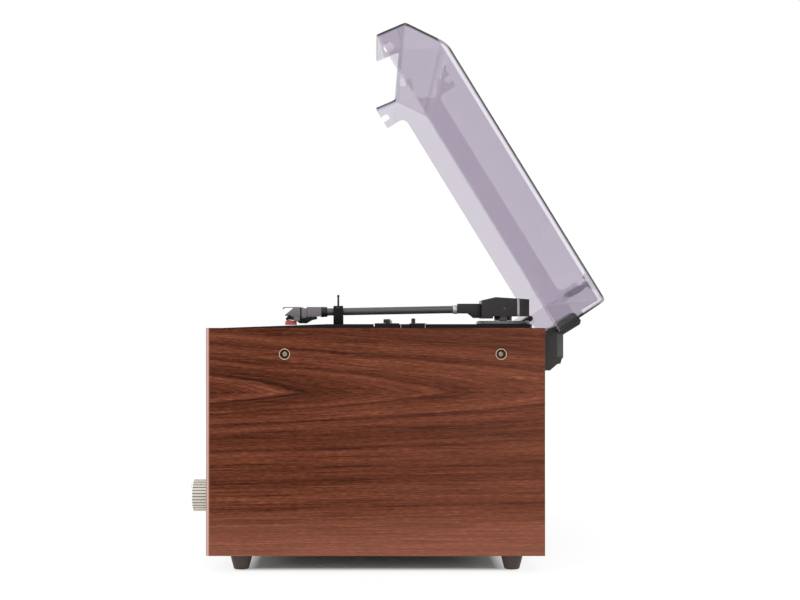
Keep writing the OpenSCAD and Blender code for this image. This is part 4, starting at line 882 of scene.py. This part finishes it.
def make_dust_cover():
    """Thin shell with its front and far walls cut away and notches for the hinges"""
    cover = cover_form("dust_cover_shell", 0, LID_SEAT, 1.6)
    carve(cover, cover_form("inside", LID_WALL, LID_SEAT - 10, 0.6))
    far = block("far_cut", (-LID_W - 1, 32.1, 233), (-LID_W + LID_WALL + 6, 350.9, 281.6))
    round_edges(far, lambda a, b: a.z > 281 and b.z > 281 and abs(a.y - b.y) < 0.1, 9, 6)
    carve(cover, far)
    front = block("front_cut", (-204.5, -30, 233), (101, 18.9, 281.1))
    round_edges(front, lambda a, b: a.z > 281 and b.z > 281 and abs(a.x - b.x) < 0.1, 6, 6)
    carve(cover, front)
    for x in (-HINGE_X, HINGE_X):
        carve(cover, block("notch", (x - 18, 350, 248.6), (x + 18, 370.9, 260.6)))
    take(cover)
    bpy.ops.object.shade_flat()
    opened(cover)
    fit(cover, "lid", smoked_acrylic(), "smoked_acrylic", "dust_cover")


def make_bumpers():
    """Milky rubber clips with round ends, on the lower edge near the front, glowing as painted light"""
    soft = Finish("clear_rubber")
    haze = soft.noise(200, 3)
    milky_glow = soft.blend(haze, tone(232, 230, 232), tone(248, 247, 246))
    # Painted light: the clips glow with their own milky colour
    soft = soft.done(Base_Color=milky_glow, Roughness=0.35, Emission_Color=milky_glow, Emission_Strength=0.42)
    clip = block("lid_bumper_right", (215.1, 15.1, 253.15), (219.45, 23.9, 263.5))
    round_edges(clip, lambda a, b: abs(a.y - b.y) < 0.1 and abs(a.z - b.z) < 0.1, 3.2, 6)
    carve(clip, block("slot", (216.88, 14, 253.65), (222, 25, 266)))
    soften(clip, 0.25, 2)
    other = opened(mirrored(clip, "lid_bumper_left"))
    for piece in (opened(clip), other):
        fit(piece, "lid", soft, "clear_rubber", "lid_bumpers")


# Hinges
def make_hinges():
    """Deep lower bodies behind the cabinet, and arms that clamp the cover's back wall"""
    hinge_black = moulded("hinge_black", tone(49, 47, 46), 0.36, 0.12)
    pz, pin = HINGE[1], (HINGE_X, *HINGE)
    pin_hole = lambda: lathe("pin_hole", [(1.62, -20), (1.62, 20)], pin, "x", 32)
    body = slab("hinge_body_right", [
        (350, pz), (350, 208.3), (358.1, 208.3), (365.8, 214.9), (369.2, 215.6), (370.5, 220.5),
        (372, 222), (372, 246.6), (370, pz)], 163.05, 196.95)
    carve(body, lathe("ear", [(3.97, -16.9), (3.97, 16.9)], pin, "x", 40), "UNION")
    carve(body, slab("pocket", [(352.5, 258), (352.5, 223), (370, 223), (370, 236), (374, 236), (374, 258)],
                     166, 194))
    carve(body, pin_hole())
    soften(body, 0.5, 3)
    arm = slab("hinge_arm_right", [
        (355.9, pz), (362.9, pz), (368.5, 257.6), (368.5, 279.6), (365.5, 282.6), (357.0, 281.8),
        (354.4, 279.8), (354.4, 261.6), (356.9, 257.1)], 166.35, 193.65)
    carve(arm, lathe("eye", [(3.97, -13.65), (3.97, 13.65)], pin, "x", 40), "UNION")
    carve(arm, slab("slot", [(358.5, 260.6), (361.2, 260.6), (359.0, LID_TOP), (356.3, LID_TOP)], 160, 200))
    carve(arm, pin_hole())
    for x0, x1 in ((160, 166.75), (193.25, 200)):
        carve(arm, slab("seam", [(350, 273.9), (375, 273.9), (375, 274.9), (350, 274.9)], x0, x1))
    soften(arm, 0.9, 4)
    side = [(365.4, 246.9), (365.4, 222.6), (369.6, 222.6), (371.4, 224.0), (371.4, 246.2), (369.8, 246.9)]
    cheek = join("hinge_cheek_right", slab("inner", side, 162.8, 163.6), slab("outer", side, 196.4, 197.2))
    soften(cheek, 0.2, 2)
    # Painted highlight: thin lighter grey plates on the sides of the hinge bodies, standing for the light
    # along their rear strip
    painted_light = moulded("hinge_cheek_grey", tone(78, 76, 73), 0.3, 0.08)
    for finish, piece in ((painted_light, cheek), (hinge_black, body)):
        for other in (piece, mirrored(piece, piece.name.replace("right", "left"))):
            fit(other, "cabinet", finish, "black_plastic", "hinge_bodies")
    left = opened(mirrored(arm, "hinge_arm_left"))
    for piece in (opened(arm), left):
        fit(piece, "lid", hinge_black, "black_plastic", "hinge_arms")


# Front
CHAMPAGNE = brushed_metal("champagne_fascia", tone(206, 194, 176), 0.36, (2, 60, 60), 0.85)


def champagne_knob():
    """Pale ring with painted shade in its grooves, and a cap painted near-white as a highlight"""
    knob = Finish("champagne_knob")
    lines = knob.noise(60, 3, 0.6, knob.scaled(40, 1, 40))
    across, up = abs(knob.x) - KNOB_X * MM, knob.z - KNOB_Z * MM
    deep = ((across * across + up * up) ** 0.5 * 1000 - 16.0).ramp((0.35, 1.0), (0.75, 0.0))
    forward = (knob.y - FRONT_EDGE * MM) * -1000
    # Painted shade in the grooves of the grip
    groove_shade = deep * forward.above(1.2) * forward.below(17.7)
    ring = knob.blend(lines, tone(200, 194, 182), tone(228, 223, 212))
    ring = knob.blend(groove_shade * 0.75, ring, tone(70, 62, 50))
    # Painted highlight: the cap in front of the grip is near-white
    return knob.done(
        Base_Color=knob.blend(forward.above(18.0), ring, tone(240, 237, 230)), Metallic=0.2,
        Roughness=lines * 0.15 + 0.28)


def make_knobs():
    """Ribbed grips with a foot, a shallow domed cap and a shaft"""
    finish = champagne_knob()
    sides, centre = 96, (KNOB_X, 0, KNOB_Z)
    grip = lathe("grip", [(16.95, 1.3), (16.95, 17.9)], centre, "y", sides)
    third = lambda n: round(math.atan2(n.z, n.x) / math.tau * sides - 0.5) % 3 == 0
    dish(grip, lambda c, n: abs(n.y) < 0.5 and third(n), 0.14, 0.85, True)
    smooth(grip, 20)
    cap = lathe("cap", [
        (3.0, -2.3), (3.0, -0.7), (15.0, -0.7), (15.0, 2.0), (15.85, 2.0), (15.85, 17.85), (15.7, 18.2),
        (14.6, 18.75), (12.6, 19.5), (9.6, 20.25), (6.4, 20.75), (3.0, 20.99)], centre, "y", sides)
    shaft = lathe("shaft", [(3.0, -38.0), (3.0, -2.0)], centre, "y", 40)
    smooth(cap, 40)
    smooth(shaft, 40)
    knob = join("tuning_knob_cap", cap, grip, shaft)
    knob.data.materials.clear()
    mark = block("tuning_knob_mark", (KNOB_X - 0.6, -21.0, KNOB_Z + 5), (KNOB_X + 0.6, -20.9, KNOB_Z + 12))
    soften(mark, 0.04, 2)
    other = copy_of(knob, "volume_knob_cap", -2 * KNOB_X)
    other_mark = copy_of(mark, "volume_knob_mark", -2 * KNOB_X)
    dark = moulded("mark_dark", tone(60, 54, 50), 0.5)
    for piece, line, body, node in ((knob, mark, "tuning_control", "tuning_knob"),
                                    (other, other_mark, "volume_dial", "volume_knob")):
        fit(piece, body, finish, "champagne_knob", node)
        fit(line, body, dark, "champagne_knob", node)


BUTTONS = (  # name, x and z of the middle
    ("power", -48, 88.7), ("radio", -16, 88.7), ("phono", 16, 88.7), ("disc", 48, 88.7),
    ("play", -48, 58.7), ("stop", -16, 58.7), ("drawer", 16, 58.7))


def make_buttons():
    """Push buttons with rounded edges, a shallow dish, a flange and a stem"""
    metal = brushed_metal("champagne_button", tone(214, 203, 186), 0.32, (2, 60, 60), 0.8)
    dark = moulded("dark_button", tone(48, 44, 42), 0.32, 0.1)
    first = block("button", (-58, -2, 84.2), (-38, 4.3, 93.2))
    round_edges(first, lambda a, b: a.y < -1.9 and b.y < -1.9, 0.8, 4)
    dish(first, lambda c, n: n.y < -0.9 and c.y < -1.9, 1.2, 0.35)
    round_edges(first, lambda a, b: abs(a.x - b.x) < 0.01 and abs(a.z - b.z) < 0.01, 0.8, 3)
    flange = block("flange", (-59.15, 4.3, 83.05), (-36.85, 5.5, 94.35))
    stem = block("stem", (-51, 5.5, 86.7), (-45, 14.7, 90.7))
    smooth(join("button", first, flange, stem), 30)
    for name, x, z in BUTTONS:
        piece = copy_of(first, name + "_button_cap", x - BUTTONS[0][1], 0, z - BUTTONS[0][2])
        finish = (dark, "dark_button") if name == "power" else (metal, "champagne_button")
        fit(piece, name + "_key", *finish, name + "_button")
    drop(first)


def dial_text(words, x, z, size):
    """Plain figures on the dial card"""
    clear()
    bpy.ops.object.text_add(location=spot(x, 9.95, z), rotation=(math.pi / 2, 0, 0))
    letters = bpy.context.object
    letters.data.body = words
    letters.data.size = size * MM
    letters.data.extrude = 0.05 * MM
    letters.data.align_x = letters.data.align_y = "CENTER"
    bpy.ops.object.convert(target="MESH")
    return settle("dial_figure")


def make_dial():
    """Cream card with two rows of plain figures and ticks, a red pointer and a clear window"""
    ink = moulded("dial_ink", tone(58, 44, 30), 0.6, 0.05)
    dress(dial_card(), "dial_scale")
    marks = []
    for row, figures, rail, way in (
            (222, (88, 92, 96, 100, 104, 108), 212, 1), (179, (54, 60, 80, 100, 130, 160), 189, -1)):
        for i, figure in enumerate(figures):
            marks.append(dial_text(str(figure), -55 + 22 * i, row, 7.5))
        for i in range(51):
            x = -55 + 2.2 * i
            tall = 5 if i % 10 == 0 else 3.2 if i % 5 == 0 else 1.8
            low, high = sorted((rail, rail + way * tall))
            marks.append(block("tick", (x - 0.14, 9.9, low), (x + 0.14, 10, high)))
        marks.append(block("rail", (-60, 9.9, rail - 0.2), (60, 10, rail + 0.2)))
    scale = join("dial_marks", *marks)
    fit(scale, "cabinet", ink, "dial_card")
    dress(moulded("red_pointer", tone(206, 44, 34), 0.35, 0.05), "dial_pointer")
    glass = Finish("window_glass")
    haze = glass.noise(300, 3)
    dress(glass.done(Base_Color=tone(238, 242, 240), Roughness=haze * 0.03 + 0.01, Transmission_Weight=1.0,
                     IOR=1.49), "dial_window")


def make_grilles():
    """Loudspeaker cloth panels with soft corners"""
    brown = cloth("grille_cloth", tone(98, 78, 60), tone(52, 40, 31))
    panel = slab("speaker_cloth_right", [(77, 115), (202, 115), (202, 243.5), (77, 243.5)], 1.55, 4.0, "y")
    round_edges(panel, lambda a, b: abs(a.x - b.x) < 0.01 and abs(a.z - b.z) < 0.01, 3, 6)
    round_edges(panel, lambda a, b: a.y < 1.6 and b.y < 1.6, 1.1, 5)
    smooth(panel, 40)
    for piece in (panel, mirrored(panel, "speaker_cloth_left")):
        fit(piece, "cabinet", brown, "grille_cloth", "speaker_grilles")


def dress_inside():
    """Fascia, drawer and what stands in the cabinet"""
    dress(CHAMPAGNE, "control_fascia")
    dress(moulded("drawer_plastic", tone(52, 49, 47), 0.34, 0.12), "disc_drawer")
    dress(brushed_metal("speaker_steel", tone(120, 120, 122), 0.45), "speaker_right", "speaker_left")
    paper = Finish("cone_paper")
    fibres = paper.noise(600, 4, 0.7)
    dress(paper.done(Base_Color=paper.blend(fibres, tone(34, 32, 31), tone(62, 58, 55)), Roughness=0.85,
                     Normal=paper.bump(fibres, 0.4, 0.0003)), "speaker_cones")
    dress(brushed_metal("core_steel", tone(128, 118, 106), 0.5), "transformer")
    dress(circuit_board(), "main_board")
    dress(brushed_metal("socket_metal", tone(206, 206, 208), 0.25), "rear_sockets")
    dress(BLACK_PLASTIC, "mains_inlet")


# Set: floor, light and camera
def make_world():
    """White all round, a little stronger as light than where it is seen or mirrored"""
    world = bpy.data.worlds.new("studio")
    bpy.context.scene.world = world
    world.use_nodes = True
    nodes, link = world.node_tree.nodes, world.node_tree.links.new
    nodes.clear()
    path = nodes.new("ShaderNodeLightPath")
    seen = path.outputs["Is Camera Ray"]
    for kind in ("Is Glossy Ray", "Is Transmission Ray"):
        either = nodes.new("ShaderNodeMath")
        either.operation = "MAXIMUM"
        link(seen, either.inputs[0])
        link(path.outputs[kind], either.inputs[1])
        seen = either.outputs[0]
    mix, end = nodes.new("ShaderNodeMixShader"), nodes.new("ShaderNodeOutputWorld")
    link(seen, mix.inputs[0])
    for place, strength in ((1, 1.03), (2, 1)):
        light = nodes.new("ShaderNodeBackground")
        light.inputs["Color"].default_value = (1, 1, 1, 1)
        light.inputs["Strength"].default_value = strength
        link(light.outputs[0], mix.inputs[place])
    link(mix.outputs[0], end.inputs["Surface"])


def make_floor():
    """White paper that keeps the shadow under the cabinet and glows to pure white beside it"""
    clear()
    bpy.ops.mesh.primitive_grid_add(x_subdivisions=8, y_subdivisions=8, size=8)
    floor = settle("floor")
    paper = Finish("white_paper")
    fibre = paper.noise(400, 2)
    past_ends = abs(paper.y + 0.02).ramp((0.088, 0.0), (0.125, 0.05), (0.15, 1.0))
    past_sides = abs(paper.x).ramp((0.19, 0.0), (0.208, 1.0))
    far = abs(paper.y).larger(abs(paper.x))
    beside = past_ends.larger(past_sides) * far.ramp((0.38, 1.0), (0.6, 0.0))
    white = paper.blend(fibre, tone(252, 252, 252), tone(255, 255, 255))
    floor.data.materials.append(paper.done(
        Base_Color=paper.blend(beside * 0.82, white, (0, 0, 0, 1)), Roughness=0.9, Specular_IOR_Level=0.0,
        Emission_Color=paper.blend(beside, (0, 0, 0, 1), (1, 1, 1, 1)), Emission_Strength=0.86))


def lamp(name, place, aim, size, power):
    """A soft rectangular lamp turned to a point"""
    clear()
    bpy.ops.object.light_add(type="AREA", location=place)
    light = bpy.context.object
    light.name = name
    light.data.shape = "RECTANGLE"
    light.data.size, light.data.size_y = size
    light.data.energy = power
    light.rotation_euler = (Vector(aim) - Vector(place)).to_track_quat("-Z", "Y").to_euler()


def make_camera():
    """Square on to the right-hand side, as in the photograph"""
    clear()
    bpy.ops.object.camera_add(location=(1.484, -0.0198, 0.255), rotation=(math.pi / 2, 0, math.pi / 2))
    camera = bpy.context.object
    camera.data.lens = 55.22
    camera.data.shift_x = 0.0306
    camera.data.shift_y = 0.0325
    camera.data.clip_start = 0.01
    bpy.context.scene.camera = camera
    bpy.context.scene.view_settings.view_transform = "Standard"


dress_cabinet()
make_feet()
make_side_screws()
make_deck()
make_switches()
make_arm_base()
make_arm_housing()
make_arm_neck()
make_arm_tube()
make_headshell()
make_cartridge()
make_arm_rest()
make_arm_clip()
make_dust_cover()
make_bumpers()
make_hinges()
make_knobs()
make_buttons()
make_dial()
make_grilles()
dress_inside()
make_world()
make_floor()
lamp("key", (1.9, -0.2, 1.5), (0, 0, 0.2), (1.6, 1.2), 4)
lamp("fill", (-1.6, -1.2, 1.4), (0, 0, 0.2), (1.6, 1.4), 3)
lamp("top", (0.3, 0, 2.2), (0, 0, 0.2), (1.8, 1.8), 5)
lamp("streak", (1.1, -0.5, 1.03), (0.16, -0.1, 0.27), (0.9, 0.03), 0.9)
make_camera()
